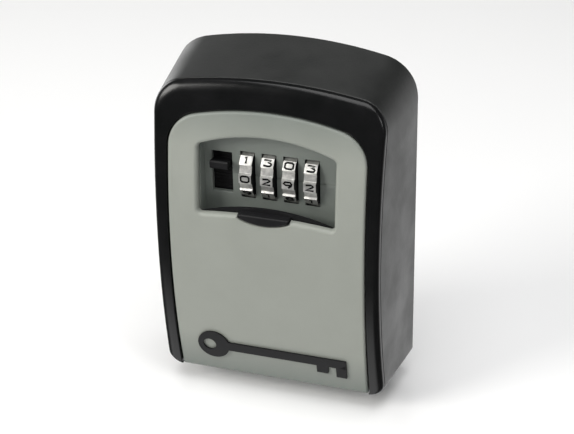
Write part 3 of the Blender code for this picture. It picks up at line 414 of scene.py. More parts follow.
def noise(tree, scale, detail=4.0, roughness=0.6, stretch=(1, 1, 1)):
    """Noise in object space, scale in features per metre."""
    place = tree.nodes.new("ShaderNodeTexCoord")
    turn = tree.nodes.new("ShaderNodeMapping")
    turn.inputs["Scale"].default_value = stretch
    made = tree.nodes.new("ShaderNodeTexNoise")
    made.inputs["Scale"].default_value = scale
    made.inputs["Detail"].default_value = detail
    made.inputs["Roughness"].default_value = roughness
    tree.links.new(place.outputs["Object"], turn.inputs["Vector"])
    tree.links.new(turn.outputs["Vector"], made.inputs["Vector"])
    return made.outputs["Fac"]


def spread(tree, value, low, high, start=0.3, end=0.7):
    """Maps a noise value to a range."""
    made = tree.nodes.new("ShaderNodeMapRange")
    made.inputs["From Min"].default_value = start
    made.inputs["From Max"].default_value = end
    made.inputs["To Min"].default_value = low
    made.inputs["To Max"].default_value = high
    tree.links.new(value, made.inputs["Value"])
    return made.outputs["Result"]


def tinted(tree, value, dark, light, start=0.3, end=0.7):
    """A colour between two, by a noise value."""
    made = tree.nodes.new("ShaderNodeValToRGB")
    made.color_ramp.elements[0].position = start
    made.color_ramp.elements[0].color = (*dark, 1.0)
    made.color_ramp.elements[1].position = end
    made.color_ramp.elements[1].color = (*light, 1.0)
    tree.links.new(value, made.inputs["Fac"])
    return made.outputs["Color"]


def bumped(tree, shader, *layers):
    """Stacks bumps on a shader: each layer is (value, height in metres)."""
    normal = None
    for value, height in layers:
        bump = tree.nodes.new("ShaderNodeBump")
        bump.inputs["Strength"].default_value = 1.0
        bump.inputs["Distance"].default_value = height
        tree.links.new(value, bump.inputs["Height"])
        if normal:
            tree.links.new(normal, bump.inputs["Normal"])
        normal = bump.outputs["Normal"]
    tree.links.new(normal, shader.inputs["Normal"])


def satin_black():
    """Satin black paint: fine grain and faint rubs."""
    paint, tree, shader = finish_nodes("satin_black", (0.010, 0.011, 0.011), 0.46)
    rubs = noise(tree, 45.0, 5.0)
    grain = noise(tree, 1500.0, 2.0)
    shade = tinted(tree, rubs, (0.007, 0.008, 0.0075), (0.016, 0.017, 0.016))
    tree.links.new(shade, shader.inputs["Base Color"])
    tree.links.new(spread(tree, rubs, 0.34, 0.54), shader.inputs["Roughness"])
    bumped(tree, shader, (grain, 0.00004), (noise(tree, 260.0, 3.0), 0.00003))
    return paint


def boss_depth(z, radius):
    seam = [DEPTH - BEZEL_THICK - SEAM_GAP - sag(z + side * radius) for side in (-1, 1)]
    return min(seam)


def housing_mesh():
    rim = BEZEL_THICK + SEAM_GAP
    outer, inner = shell_outline(), shell_outline(HOUSING_WALL)
    back_edge, front_edge = 0.8 * MM, 0.25 * MM
    rows = [
        [shell_point(b, f, 0.0) for b, f in shell_outline(back_edge)],
        [shell_point(b, f, back_edge * 0.3) for b, f in shell_outline(back_edge * 0.3)],
        [shell_point(b, f, back_edge) for b, f in outer],
        [crowned_point(b, f, rim + front_edge) for b, f in outer],
        [crowned_point(b, f, rim) for b, f in shell_outline(front_edge)],
        [crowned_point(b, f, rim) for b, f in inner],
        [shell_point(b, f, HOUSING_BACK + MM) for b, f in inner],
        [shell_point(b, f, HOUSING_BACK) for b, f in shell_outline(HOUSING_WALL + MM)],
    ]
    tub = lofted("housing_shell", rows)
    lug_x = DOOR_HALF + GAP
    cut(tub, block("foot_room", (-lug_x, lug_x), (-DEPTH, FOOT_ROOM_Y), (-MM, FOOT_ROOM_HIGH)))
    for side in (1, -1):
        for x, z, radius in SCREW_PLACES:
            end = -boss_depth(z, radius)
            join(tub, rod("boss", radius, (side * x, -HOUSING_BACK / 2, z), (side * x, end, z)))
        join(tub, block("lug", sorted((side * lug_x, side * (lug_x + LUG_WIDE))), LUG_Y, LUG_Z))
    end = lug_x + PIN_IN_LUG
    drill(tub, rod("pin_bore", PIN_HOLE, (-end, -PIN_DEPTH, PIN_HEIGHT), (end, -PIN_DEPTH, PIN_HEIGHT)))
    for side in (1, -1):
        for x, z, _ in SCREW_PLACES:
            drill(
                tub,
                rod("screw_way", SCREW_WAY, (side * x, MM, z), (side * x, -DEPTH, z)),
                rod("head_way", HEAD_WAY, (side * x, MM, z), (side * x, -HEAD_SINK, z)),
            )
        for z in (WALL_HOLE_MARGIN, HEIGHT - WALL_HOLE_MARGIN):
            x = side * WALL_HOLE_X
            drill(tub, rod("wall_way", WALL_HOLE, (x, MM, z), (x, -HOUSING_BACK * 1.5, z)))
    return tub


housing_black = satin_black()
housing = smoothed(set_down(housing_mesh()))
fit(housing, housing_black, "body", "housing_satin", "rear_housing")


# ---- Front bezel ----
# A glossy black moulding, an inverted U round the door, with a full round outer edge.
# Four screws hold it from the back of the housing.

BEZEL_ROUND, BEZEL_LIP = 3.6 * MM, 0.5 * MM


def gloss_black():
    """Glossy black moulding: a clear skin with faint waves and a little dust."""
    paint, tree, shader = finish_nodes("gloss_black", (0.003, 0.003, 0.0035), 0.2)
    shader.inputs["Specular IOR Level"].default_value = 0.3
    haze = noise(tree, 70.0, 4.0)
    shade = tinted(tree, haze, (0.0025, 0.003, 0.003), (0.005, 0.005, 0.0055))
    tree.links.new(shade, shader.inputs["Base Color"])
    tree.links.new(spread(tree, haze, 0.16, 0.26), shader.inputs["Roughness"])
    bumped(tree, shader, (noise(tree, 900.0, 2.0), 0.000012))
    return paint


def bezel_mesh():
    """One section swept round the door, from foot to foot."""
    opening = whole_outline(
        half_outline(DOOR_HALF + GAP, DOOR_TOP + GAP, DOOR_ARCH + GAP, DOOR_CORNER + GAP, GAP / 2)
    )
    rows = []
    for (b, f), (inner_x, inner_z) in zip(shell_outline(), opening):
        section = [crowned_point(b, f, BEZEL_THICK)]
        edge = crowned_point(b, f, BEZEL_THICK * 0.6)
        away = hypot(inner_x - edge[0], inner_z - edge[2])
        reach = min(BEZEL_ROUND, away * 0.8)
        for step in range(9):
            turn = radians(90 * step / 8)
            share = reach * (1 - cos(turn)) / away
            x = edge[0] + (inner_x - edge[0]) * share
            z = edge[2] + (inner_z - edge[2]) * share
            section.append((x, -(DEPTH - sag(z)) + BEZEL_THICK * 0.8 * (1 - sin(turn)), z))
        lip = min(BEZEL_LIP, away * 0.1)
        for step in range(4):
            turn = radians(90 * step / 3)
            share = (away - lip * (1 - sin(turn))) / away
            x = edge[0] + (inner_x - edge[0]) * share
            z = edge[2] + (inner_z - edge[2]) * share
            section.append((x, -(DEPTH - sag(z)) + lip * (1 - cos(turn)), z))
        section.append((inner_x, -(DEPTH - sag(inner_z)) + BEZEL_THICK, inner_z))
        rows.append(section)
    return lofted("bezel_frame", rows)


bezel = smoothed(set_down(bezel_mesh()))
fit(bezel, gloss_black(), "body", "bezel_gloss", "front_bezel")


# ---- Screws, hinge pin and strike ----
# Zinc plated steel: cross head screws in the back of the housing, a plain pin along the foot of
# the door, and the block that the tongue catches.

def metal(name, colour, rough, stretch=(1, 1, 1)):
    """Bare or plated metal: fine drawn lines, cloudy plating and soft gloss."""
    paint, tree, shader = finish_nodes(name, colour, rough, 1.0)
    clouds = noise(tree, 160.0, 4.0)
    dark = tuple(part * 0.9 for part in colour)
    tree.links.new(tinted(tree, clouds, dark, colour), shader.inputs["Base Color"])
    tree.links.new(spread(tree, clouds, rough * 0.95, rough * 1.1), shader.inputs["Roughness"])
    bumped(tree, shader, (noise(tree, 1400.0, 2.0, 0.5, stretch), 0.000012))
    return paint


def finished_copy(node, new_name, edge=0.15 * MM):
    """A CAD node's shape as one clean skin with its sharp edges broken."""
    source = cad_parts[node]
    made = bpy.data.objects.new(new_name, source.data.copy())
    bpy.context.scene.collection.objects.link(made)
    select_only(made)
    bpy.ops.object.mode_set(mode="EDIT")
    bpy.ops.mesh.select_all(action="SELECT")
    bpy.ops.mesh.remove_doubles(threshold=2e-6)
    bpy.ops.mesh.dissolve_limited(angle_limit=radians(0.5))
    bpy.ops.object.mode_set(mode="OBJECT")
    if edge:
        bpy.ops.object.modifier_add(type="BEVEL")
        step = made.modifiers[-1]
        step.width = edge
        step.segments = 2
        step.angle_limit = radians(38)
        bpy.ops.object.modifier_apply(modifier=step.name)
    return smoothed(made)


plated = metal("zinc_plated", (0.62, 0.62, 0.60), 0.32)
for number in range(1, 5):
    fit(finished_copy(f"bezel_screw_{number}", f"bezel_fixing_{number}", 0.08 * MM), plated, "body",
        "zinc_plate", f"bezel_screw_{number}")
fit(finished_copy("hinge_pin", "door_pin"), plated, "body", "zinc_plate", "hinge_pin")
fit(finished_copy("strike_plate", "strike", 0.3 * MM), plated, "body", "zinc_plate", "strike_plate")


# ---- Door panel ----
# A zinc casting in grey-green paint. The dial recess is sunk into it, and the shutter's pocket
# lies behind the lip under the recess.

DOOR_SKIN, DOOR_RIM, DOOR_RIM_BACK = 2.2 * MM, 2.0 * MM, 22.0 * MM
DIAL_Z = HEIGHT - 39.4 * MM
FLOOR_Y, FLOOR_THICK = -26.0 * MM, 1.6 * MM
FLOOR_BACK_Y = FLOOR_Y + FLOOR_THICK
RECESS_HALF, RECESS_ARCH, RECESS_CORNER = 23.2 * MM, 65.0 * MM, 2.0 * MM
RECESS_TOP, LIP_Z, LIP_ARCH = DIAL_Z + 16.0 * MM, DIAL_Z - 10.6 * MM, 210.0 * MM
POCKET_FOOT, POCKET_WALL = LIP_Z - 28.5 * MM, 1.6 * MM
SHUTTER_FRONT, SHUTTER_THICK = -32.7 * MM, 1.0 * MM
SHUTTER_BACK = SHUTTER_FRONT + SHUTTER_THICK
DIAL_RADIUS, DIAL_WIDE, DIAL_Y = 10.2 * MM, 4.3 * MM, -19.4 * MM
DIAL_XS = [(-8.3 + 7.28 * place) * MM for place in range(4)]
WINDOW_X, WINDOW_HALF, WINDOW_HIGH = -17.2 * MM, 3.5 * MM, 14.4 * MM
TAB_X, TAB_HALF, TAB_SIDE, TAB_DROP = -0.6 * MM, 8.6 * MM, 1.2 * MM, 3.1 * MM
SHUTTER_TOP, TAB_TOP = LIP_Z + 2.0 * MM, LIP_Z + 0.6 * MM
MOUTH_CORNER = 1.4 * MM
EAR_ZS = (DIAL_Z - 11.0 * MM, DIAL_Z + 9.0 * MM)
CASE_EARS = [(side * 27.6 * MM, z) for side in (-1, 1) for z in EAR_ZS]
EAR_BACK, POST_RADIUS, POST_WAY, TOUCH = -10.8 * MM, 2.4 * MM, 8.0 * MM, 0.3 * MM
MOUTH_ROUND, NOTCH_ROUND, WINDOW_ROUND, DOOR_ROUND = 1.3 * MM, 0.5 * MM, 0.25 * MM, 0.9 * MM
GROOVE_DEEP, GROOVE_SLACK, GROOVE_BELOW_TOP = 0.8 * MM, 0.15 * MM, 4.6 * MM
SLOT_SLACK, INDEX_DEEP, INDEX_HALF = 0.38 * MM, 0.35 * MM, 0.275 * MM
KNUCKLE_WIDE, KNUCKLE_Y, KNUCKLE_Z = 4.5 * MM, (-29.0 * MM, -DOOR_RIM_BACK), (1.0 * MM, 7.2 * MM)
TONGUE_WAY_HALF, TONGUE_WAY_Y = 7.4 * MM, (-24.2 * MM, -21.0 * MM)


def recess_outline(half, top, foot):
    return whole_outline(half_outline(half, top, RECESS_ARCH, RECESS_CORNER, 0.6 * MM, foot))


def mouth_outline():
    """The recess as it opens in the door's face: an arched lip under it, and rounded lower corners."""
    round_x = RECESS_HALF - MOUTH_CORNER
    arch_z = LIP_Z - LIP_ARCH
    round_z = arch_z + sqrt((LIP_ARCH + MOUTH_CORNER) ** 2 - round_x**2)
    lean = atan2(round_z - arch_z, round_x) * 180 / pi
    upper = recess_outline(RECESS_HALF, RECESS_TOP, LIP_Z - 6 * MM)
    sides = [(x, z) for x, z in upper if z > round_z + 0.1 * MM]
    left = arc((-round_x, round_z), MOUTH_CORNER, 180, 360 - lean, 8)
    right = arc((round_x, round_z), MOUTH_CORNER, lean - 180, 0, 8)
    return sides + left + arc((0.0, arch_z), LIP_ARCH, 180 - lean, lean, 24)[1:-1] + right


def smile(half, side, drop, top, steps=24):
    """A flat top, short sides and a curved lower edge."""
    radius = (half**2 + (drop - side) ** 2) / (2 * (drop - side))
    lean = acos(half / radius) * 180 / pi
    lower = arc((TAB_X, top - drop + radius), radius, -180 + lean, -lean, steps)
    return [(TAB_X + half, top), (TAB_X - half, top)] + lower


def crowned(piece, still_y, full_y, strip=2.0 * MM):
    """Bends a flat piece to the crown: nothing moves behind still_y, all of it in front of full_y."""
    shape = bmesh.new()
    shape.from_mesh(piece.data)
    low = min(vertex.co.z for vertex in shape.verts)
    high = max(vertex.co.z for vertex in shape.verts)
    count = ceil((high - low) / strip)
    for step in range(1, count):
        bmesh.ops.bisect_plane(
            shape, geom=shape.verts[:] + shape.edges[:] + shape.faces[:], dist=1e-6,
            plane_co=(0, 0, low + (high - low) * step / count), plane_no=(0, 0, 1),
        )
    bmesh.ops.triangulate(shape, faces=shape.faces)
    for vertex in shape.verts:
        share = (still_y - vertex.co.y) / (still_y - full_y)
        vertex.co.y += sag(vertex.co.z) * min(max(share, 0.0), 1.0)
    shape.to_mesh(piece.data)
    shape.free()
    return piece


def door_outline(inset, base):
    half = half_outline(
        DOOR_HALF - inset, DOOR_TOP - inset, DOOR_ARCH - inset, DOOR_CORNER - inset, DOOR_FOOT, base
    )
    return whole_outline(half)


def at_front(edge, y):
    return all(abs(vertex.co.y - y) < 1e-5 for vertex in edge.verts)


def rectangle(x, z):
    return [(x[0], z[0]), (x[1], z[0]), (x[1], z[1]), (x[0], z[1])]


def door_mesh():
    """A tray with the recess, dial slots, window and shutter's pocket, bent to the crown."""
    skin_back = -DEPTH + DOOR_SKIN
    tray = rounded_plate("door_shell", door_outline(0.0, 0.0), DOOR_ROUND, -DEPTH, -DOOR_RIM_BACK)
    cut(tray, plate("hollow", door_outline(DOOR_RIM, DOOR_RIM), skin_back, 0.0))
    pocket = recess_outline(RECESS_HALF + POCKET_WALL, RECESS_TOP + POCKET_WALL, POCKET_FOOT - POCKET_WALL)
    join(tray, plate("pocket", pocket, skin_back - DOOR_SKIN / 2, FLOOR_BACK_Y))
    through = skin_back + 0.2 * MM
    notch = smile(TAB_HALF + GAP, TAB_SIDE + GAP, TAB_DROP + GAP, TAB_TOP)
    side = RECESS_HALF + GROOVE_DEEP
    groove_y = (SHUTTER_FRONT - GROOVE_SLACK, SHUTTER_BACK + GROOVE_SLACK)
    groove_z = (POCKET_FOOT + 0.1 * MM, RECESS_TOP - GROOVE_BELOW_TOP)
    channel = recess_outline(RECESS_HALF, RECESS_TOP, POCKET_FOOT)
    cut(
        tray,
        plate("channel", channel, skin_back, FLOOR_Y),
        funnel("mouth", mouth_outline(), MOUTH_ROUND, -DEPTH, through),
        funnel("notch", notch, NOTCH_ROUND, -DEPTH, through),
        block("groove", (-side, side), groove_y, groove_z),
    )
    half, radius = DIAL_WIDE / 2 + SLOT_SLACK, DIAL_RADIUS + SLOT_SLACK
    for x in DIAL_XS:
        cut(tray, rod("slot", radius, (x - half, DIAL_Y, DIAL_Z), (x + half, DIAL_Y, DIAL_Z), 96))
    window = rectangle(
        (WINDOW_X - WINDOW_HALF, WINDOW_X + WINDOW_HALF),
        (DIAL_Z - WINDOW_HIGH / 2, DIAL_Z + WINDOW_HIGH / 2),
    )
    cut(tray, funnel("window", window, WINDOW_ROUND, FLOOR_Y, FLOOR_BACK_Y + MM))
    low, high = DIAL_Z + 0.025 * MM - INDEX_HALF, DIAL_Z + 0.025 * MM + INDEX_HALF
    line = [(FLOOR_Y - MM, high), (FLOOR_Y + INDEX_DEEP, high), (FLOOR_Y, low), (FLOOR_Y - MM, low)]
    left = WINDOW_X + WINDOW_HALF + 1.2 * MM
    cut(tray, side_plate("index", line, left, RECESS_HALF - 0.05 * MM))
    door = crowned(tray, FLOOR_Y, SHUTTER_BACK + GROOVE_SLACK)
    for x, z in CASE_EARS:
        start = skin_back + sag(z) - DOOR_SKIN / 2
        join(door, rod("post", POST_RADIUS, (x, start, z), (x, EAR_BACK - TOUCH, z)))
        cut(door, rod("post_way", SCREW_WAY, (x, 0, z), (x, EAR_BACK - POST_WAY, z)))
    knuckle_end = DOOR_HALF - 0.5 * MM
    for side in (1, -1):
        span = sorted((side * (knuckle_end - KNUCKLE_WIDE), side * knuckle_end))
        join(door, block("knuckle", span, KNUCKLE_Y, KNUCKLE_Z))
    reach = DOOR_HALF * 1.1
    way_z = (DOOR_TOP - 2 * DOOR_RIM, DOOR_TOP + MM)
    cut(
        door,
        rod("door_bore", PIN_HOLE, (-reach, -PIN_DEPTH, PIN_HEIGHT), (reach, -PIN_DEPTH, PIN_HEIGHT)),
        block("tongue_way", (-TONGUE_WAY_HALF, TONGUE_WAY_HALF), TONGUE_WAY_Y, way_z),
    )
    return door


def door_paint():
    """Grey-green paint with a fine grain, and painted shade: the colour turns darker deep in the recess, by
    depth.
    """
    paint, tree, shader = finish_nodes("door_paint", (0.285, 0.30, 0.27), 0.45)
    mottle = noise(tree, 60.0, 4.0)
    grain = noise(tree, 1300.0, 2.0)
    full = tinted(tree, mottle, (0.278, 0.293, 0.262), (0.294, 0.309, 0.278))
    # painted shade: a darker tone of the paint, for the recess walls and floor
    recess_shade = tinted(tree, mottle, (0.170, 0.190, 0.172), (0.182, 0.202, 0.184))
    place = tree.nodes.new("ShaderNodeTexCoord")
    split = tree.nodes.new("ShaderNodeSeparateXYZ")
    tree.links.new(place.outputs["Object"], split.inputs[0])
    # mixes the painted shade in by depth behind the door's face
    shade_blend = tree.nodes.new("ShaderNodeMix")
    shade_blend.data_type = "RGBA"
    depth = spread(tree, split.outputs["Y"], 0.0, 1.0, FLOOR_Y - 6.4 * MM, FLOOR_Y - 3.5 * MM)
    tree.links.new(depth, shade_blend.inputs["Factor"])
    tree.links.new(full, shade_blend.inputs["A"])
    tree.links.new(recess_shade, shade_blend.inputs["B"])
    tree.links.new(shade_blend.outputs["Result"], shader.inputs["Base Color"])
    tree.links.new(spread(tree, mottle, 0.42, 0.50), shader.inputs["Roughness"])
    bumped(tree, shader, (grain, 0.00003), (noise(tree, 220.0, 3.0), 0.00002))
    return paint


door = smoothed(set_down(door_mesh()))
fit(door, door_paint(), "door", "door_coat", "door_panel")


# ---- Door inlay ----
# A plain key in black plastic, glued to the foot of the door.

def black_moulding():
    """Fine matt black moulding."""
    paint, tree, shader = finish_nodes("black_moulding", (0.006, 0.006, 0.007), 0.5)
    shader.inputs["Specular IOR Level"].default_value = 0.3
    haze = noise(tree, 120.0, 4.0)
    shade = tinted(tree, haze, (0.005, 0.005, 0.006), (0.007, 0.007, 0.008))
    tree.links.new(shade, shader.inputs["Base Color"])
    tree.links.new(spread(tree, haze, 0.48, 0.53), shader.inputs["Roughness"])
    bumped(tree, shader, (noise(tree, 1600.0, 2.0), 0.00003))
    return paint


INLAY_Z, INLAY_FRONT, INLAY_BACK = 12.0 * MM, -DEPTH - 0.75 * MM, -DEPTH - 0.05 * MM
BOW_X, BOW_RADIUS, BOW_HOLE = -20.5 * MM, 5.6 * MM, 2.3 * MM
SHANK_END, SHANK_HALF = 26.5 * MM, 1.7 * MM
BITS = ((3.6 * MM, 0.0, 4.0 * MM), (4.0 * MM, 6.4 * MM, 3.0 * MM))   # width, distance from the end, drop


def inlay_mesh():
    z, y = INLAY_Z, (INLAY_FRONT, INLAY_BACK)
    key = plate("key_inlay", arc((BOW_X, z), BOW_RADIUS, 0, 355, 71), *y)
    join(key, block("shank", (BOW_X, SHANK_END), y, (z - SHANK_HALF, z + SHANK_HALF)))
    for wide, away, drop in BITS:
        end = SHANK_END - away
        join(key, block("bit", (end - wide, end), y, (z - SHANK_HALF - drop, z)))
    eye = arc((BOW_X - BOW_RADIUS * 0.25, z), BOW_HOLE, 0, 350, 35)
    cut(key, plate("eye", eye, y[0] - MM, y[1] + MM))
    bevel_where(key, lambda e: at_front(e, y[0]) and is_sharp(e, 60), 0.18 * MM, 3)
    return crowned(key, y[1] + 2 * MM, y[1] + MM)


moulding_black = black_moulding()
inlay = smoothed(set_down(inlay_mesh()))
fit(inlay, moulding_black, "door", "moulded_black", "door_inlay")


# ---- Shutter ----
# A curved black slat that lies in the pocket behind the lip. The thumb tab sits in the lip's
# notch, and lifts the slat over the dials.

SHUTTER_HIGH, SHUTTER_ARCH, SHUTTER_CORNER = 26.5 * MM, 73.0 * MM, 1.0 * MM
TAB_PROUD, TAB_ROUND, SLAT_ROUND = 0.5 * MM, 0.45 * MM, 0.3 * MM


def shutter_mesh():
    foot = SHUTTER_TOP - SHUTTER_HIGH
    half = RECESS_HALF + GROOVE_DEEP - TOUCH
    outline = half_outline(half, SHUTTER_TOP, SHUTTER_ARCH, SHUTTER_CORNER, SHUTTER_CORNER / 2, foot)
    slat = plate("weather_shutter", whole_outline(outline), SHUTTER_FRONT, SHUTTER_BACK)
    tab = smile(TAB_HALF, TAB_SIDE, TAB_DROP, TAB_TOP)
    tab_back = SHUTTER_FRONT + SHUTTER_THICK / 2
    join(slat, rounded_plate("tab", tab, TAB_ROUND, -DEPTH - TAB_PROUD, tab_back))

    def on_slat(edge):
        """A sharp edge of the slat itself, in its upper half."""
        behind_tab = all(vertex.co.y > SHUTTER_FRONT - 1e-5 for vertex in edge.verts)
        return behind_tab and is_sharp(edge, 50) and edge.verts[0].co.z > SHUTTER_TOP - 12 * MM

    bevel_where(slat, on_slat, SLAT_ROUND, 2)
    return crowned(slat, 0.0, SHUTTER_BACK)


shutter = smoothed(set_down(shutter_mesh()))
fit(shutter, moulding_black, "shutter", "moulded_black", "shutter")


# ---- Dials ----
# Ten raised metal teeth round a wheel with black sides, each tooth with a digit filled in black.
# Flat valleys between them give the fingertip its grip. A gated hub sits in each wheel.

READING = (0, 2, 9, 2)           # the digits at the front
TOOTH_HALF, VALLEY_START = 9.2, 11.2   # degrees from a tooth's middle
DIGIT_OUT, DIGIT_FLAT = DIAL_RADIUS * cos(radians(9.0)), 0.2
VALLEY_DEEP, DIAL_TRIM, HUB_BORE = 0.72 * MM, 0.02 * MM, 4.3 * MM
DIGIT_HALF_WIDE, DIGIT_HALF_HIGH, STROKE = 1.38 * MM, 1.02 * MM, 0.34 * MM


def dial_outline():
    """A flat tooth and a flat valley, ten times round."""
    tooth, valley = DIAL_RADIUS - DIAL_TRIM, DIAL_RADIUS - DIAL_TRIM - VALLEY_DEEP
    corners = (
        (-TOOTH_HALF, tooth), (TOOTH_HALF, tooth), (VALLEY_START, valley), (36 - VALLEY_START, valley),
    )
    points = []
    for digit in range(10):
        for turn, radius in corners:
            angle = radians(digit * 36 + turn)
            points.append((DIAL_Y + radius * cos(angle), DIAL_Z + radius * sin(angle)))
    return points


def dial_mesh(name, x):
    ring = side_plate(name, dial_outline(), x - DIAL_WIDE / 2, x + DIAL_WIDE / 2)
    cut(ring, rod("bore", HUB_BORE, (x - DIAL_WIDE, DIAL_Y, DIAL_Z), (x + DIAL_WIDE, DIAL_Y, DIAL_Z), 64))
    bevel_where(ring, lambda edge: is_sharp(edge, 25), 0.14 * MM, 2)
    return ring


def dial_metal():
    """Satin chrome: bright, with fine turned lines across the wheel's width."""
    paint, tree, shader = finish_nodes("dial_chrome", (0.76, 0.75, 0.72), 0.3, 0.84)
    stains = noise(tree, 600.0, 4.0)
    shade = tinted(tree, stains, (0.60, 0.60, 0.58), (0.90, 0.89, 0.86))
    tree.links.new(shade, shader.inputs["Base Color"])
    tree.links.new(spread(tree, stains, 0.28, 0.40), shader.inputs["Roughness"])
    bumped(tree, shader, (noise(tree, 2500.0, 2.0, 0.5, (0.15, 1, 1)), 0.00001))
    return paint


# Each digit is one stroke or more, on a grid two units wide and two high, centred on its tooth.
DIGIT_STROKES = {
    0: [[(-0.6, 1), (0.6, 1), (1, 0.6), (1, -0.6), (0.6, -1), (-0.6, -1), (-1, -0.6), (-1, 0.6),
         (-0.6, 1)]],
    1: [[(-0.3, 0.7), (0.1, 1), (0.0, -1)]],
    2: [[(-0.9, 0.85), (0.4, 1), (0.95, 0.55), (0.6, 0.15), (-0.95, -0.95), (1, -0.95)]],
    3: [[(-0.9, 0.95), (0.85, 0.9), (0.1, 0.15), (0.7, 0.05), (1, -0.35), (0.7, -0.9), (0.1, -1),
         (-0.95, -0.85)]],
    4: [[(0.5, -1), (0.5, 1), (-0.95, -0.35), (1, -0.35)]],
    5: [[(0.9, 1), (-0.75, 1), (-0.85, 0.15), (0.4, 0.25), (1, -0.3), (0.5, -0.95), (-0.9, -0.9)]],
    6: [[(0.7, 0.95), (-0.3, 0.75), (-0.95, -0.1), (-0.7, -0.9), (0.6, -1), (1, -0.4), (0.5, 0.1),
         (-0.8, -0.05)]],
    7: [[(-0.95, 0.95), (0.95, 0.95), (-0.2, -1)]],
    8: [[(0, 0.08), (-0.75, 0.3), (-0.7, 0.85), (0, 1), (0.7, 0.85), (0.75, 0.3), (0, 0.08), (-0.95, -0.35),
         (-0.7, -0.9), (0, -1), (0.7, -0.9), (0.95, -0.35), (0, 0.08)]],
    9: [[(0.85, -0.05), (-0.5, -0.1), (-1, 0.4), (-0.6, 0.95), (0.6, 1), (0.95, 0.4), (0.8, -0.3),
         (0.1, -1)]],
}


def digit_mesh(name, digit, x, turn):
    """One digit's strokes, flattened and laid in its tooth, turn degrees above the front."""
    curve = bpy.data.curves.new(name, "CURVE")
    curve.dimensions = "3D"
    curve.bevel_depth = STROKE
    curve.bevel_resolution = 3
    curve.use_fill_caps = True
    for stroke in DIGIT_STROKES[digit]:
        line = curve.splines.new("POLY")
        line.points.add(len(stroke) - 1)
        for point, (across, up) in zip(line.points, stroke):
            point.co = (across * DIGIT_HALF_WIDE, 0.0, up * DIGIT_HALF_HIGH, 1.0)
    made = bpy.data.objects.new(name, curve)
    bpy.context.scene.collection.objects.link(made)
    select_only(made)
    bpy.ops.object.convert(target="MESH")
    made = bpy.context.active_object
    lay = Matrix.Translation((x, DIAL_Y, DIAL_Z)) @ Matrix.Rotation(radians(-turn), 4, "X")
    made.data.transform(lay @ Matrix.Translation((0, -DIGIT_OUT, 0)) @ Matrix.Diagonal((1, DIGIT_FLAT, 1, 1)))
    return made


digit_black, _, digit_shader = finish_nodes("digit_black", (0.003, 0.003, 0.003), 0.7)
digit_shader.inputs["Specular IOR Level"].default_value = 0.15
chrome = dial_metal()
for number, (dial_x, reading) in enumerate(zip(DIAL_XS, READING), 1):
    body = f"dial_{number}"
    wheel = smoothed(set_down(dial_mesh(f"number_wheel_{number}", dial_x)), 30)
    fit(wheel, chrome, body, "dial_metal", f"dial_wheel_{number}")
    wheel.data.materials.append(moulding_black)
    for face in wheel.data.polygons:
        if abs(face.normal.x) > 0.9:
            face.material_index = 1
    digits = [
        digit_mesh(f"digit_{number}_{step}", (reading + step) % 10, dial_x, step * 36)
        for step in range(10)
    ]
    select_only(*digits)
    bpy.ops.object.join()
    figures = bpy.context.active_object
    figures.name = f"dial_figures_{number}"
    set_down(figures)
    figures.data.materials.clear()
    figures.data.materials.append(digit_black)
    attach(figures, body)
    hub = finished_copy(f"code_hub_{number}", f"gated_hub_{number}", 0.1 * MM)
    fit(hub, moulding_black, body, "moulded_black", f"code_hub_{number}")


# ---- Shaft, spacer and springs of the dials ----
# A steel shaft carries the dials between the walls of the lock case. A leaf spring under them
# gives the clicks, and a coil at the shaft's end holds the hubs in.

spring_wire = metal("spring_wire", (0.50, 0.50, 0.50), 0.28)
fit(finished_copy("dial_shaft", "shaft"), plated, "door", "zinc_plate", "dial_shaft")
fit(finished_copy("shaft_spacer", "spacer_tube"), moulding_black, "door", "moulded_black", "shaft_spacer")
fit(finished_copy("detent_spring", "click_leaf", 0), spring_wire, "door", "spring_steel", "detent_spring")
fit(finished_copy("clutch_spring", "hub_coil", 0), spring_wire, "door", "spring_steel", "clutch_spring")


# ---- Release and latch ----
# The black slider shows in the window left of the dials: fine ribs and a nub for the thumb.
# Behind it a steel slide carries the fence fingers and the tongue.

SLIDER_LAP, SLIDER_THICK, SLIDER_ABOVE_WINDOW = 0.7 * MM, 1.5 * MM, 5.7 * MM
NUB_Z, NUB_FRONT, NUB_SIDE_GAP, NUB_SINK = DIAL_Z + 3.6 * MM, -29.4 * MM, 0.4 * MM, 0.2 * MM
RIB_PITCH, RIB_HALF, RIB_PROUD = 1.2 * MM, 0.25 * MM, 0.25 * MM
PEG_HALF, PEG_LONG, PEG_BELOW_TOP = 2.5 * MM, 4.5 * MM, (3.0 * MM, 1.0 * MM)


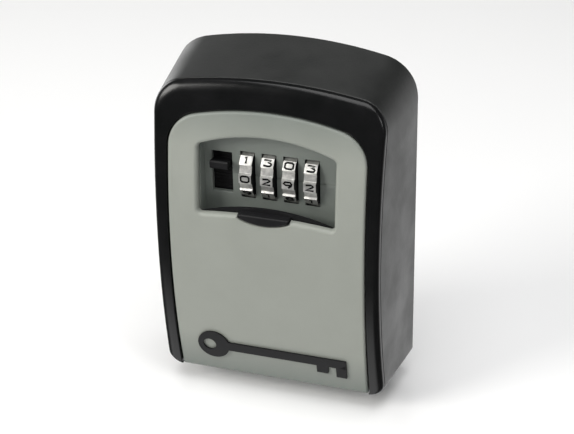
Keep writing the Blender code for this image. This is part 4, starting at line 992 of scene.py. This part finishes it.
def release_mesh():
    """The slider, its ribs, and a nub whose top rises to the front, to catch the thumb."""
    half = WINDOW_HALF + SLIDER_LAP
    front = FLOOR_BACK_Y + TOUCH
    back = front + SLIDER_THICK
    foot = DIAL_Z - WINDOW_HIGH / 2 - SLIDER_LAP
    top = DIAL_Z + WINDOW_HIGH / 2 + SLIDER_ABOVE_WINDOW
    slab = block("release_slider", (WINDOW_X - half, WINDOW_X + half), (front, back), (foot, top))
    inner = (WINDOW_X - WINDOW_HALF + NUB_SIDE_GAP, WINDOW_X + WINDOW_HALF - NUB_SIDE_GAP)
    root_back, root_front = back - NUB_SINK, front - 0.4 * MM
    profile = [
        (root_back, NUB_Z + 0.7 * MM), (root_front, NUB_Z + 0.7 * MM),
        (NUB_FRONT + 0.5 * MM, NUB_Z + 1.5 * MM), (NUB_FRONT, NUB_Z + 1.0 * MM),
        (NUB_FRONT, NUB_Z - 0.9 * MM), (NUB_FRONT + 0.5 * MM, NUB_Z - 1.4 * MM),
        (root_front, NUB_Z - 1.6 * MM), (root_back, NUB_Z - 1.6 * MM),
    ]
    join(slab, side_plate("nub", profile, *inner))
    rib_y = (front - RIB_PROUD, front + TOUCH)
    for place in range(1, 15):
        z = foot + place * RIB_PITCH + 0.2 * MM
        on_nub = NUB_Z - 2.0 * MM < z < NUB_Z + 1.2 * MM
        if not on_nub and z < DIAL_Z + WINDOW_HIGH / 2:
            join(slab, block("rib", inner, rib_y, (z - RIB_HALF, z + RIB_HALF)))
    peg_z = (top - PEG_BELOW_TOP[0], top - PEG_BELOW_TOP[1])
    join(slab, block("peg", (WINDOW_X - PEG_HALF, WINDOW_X + PEG_HALF), (root_back, back + PEG_LONG), peg_z))
    bevel_where(slab, lambda edge: is_sharp(edge, 30), 0.12 * MM, 2)
    return slab


release = smoothed(set_down(release_mesh()))
fit(release, moulding_black, "release", "moulded_black", "release_button")
fit(finished_copy("latch_slide", "fence_slide"), plated, "release", "zinc_plate", "latch_slide")
return_coil = finished_copy("latch_spring", "return_coil", 0)
fit(return_coil, spring_wire, "door", "spring_steel", "latch_spring")
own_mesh(return_coil)


# ---- Lock case and code lever ----
# A bare zinc casting closes the mechanism from behind, held by four screws. The lever on its
# back is moved to set a new code.

cast_zinc = metal("cast_zinc", (0.52, 0.52, 0.50), 0.45)
fit(finished_copy("lock_case", "mechanism_cover", 0.2 * MM), cast_zinc, "door", "cast_zinc", "lock_case")
for number in range(1, 5):
    fit(finished_copy(f"case_screw_{number}", f"cover_fixing_{number}", 0.08 * MM), plated, "door",
        "zinc_plate", f"case_screw_{number}")
fit(finished_copy("code_lever", "setting_lever", 0.2 * MM), moulding_black, "code_lever",
    "moulded_black", "code_lever")
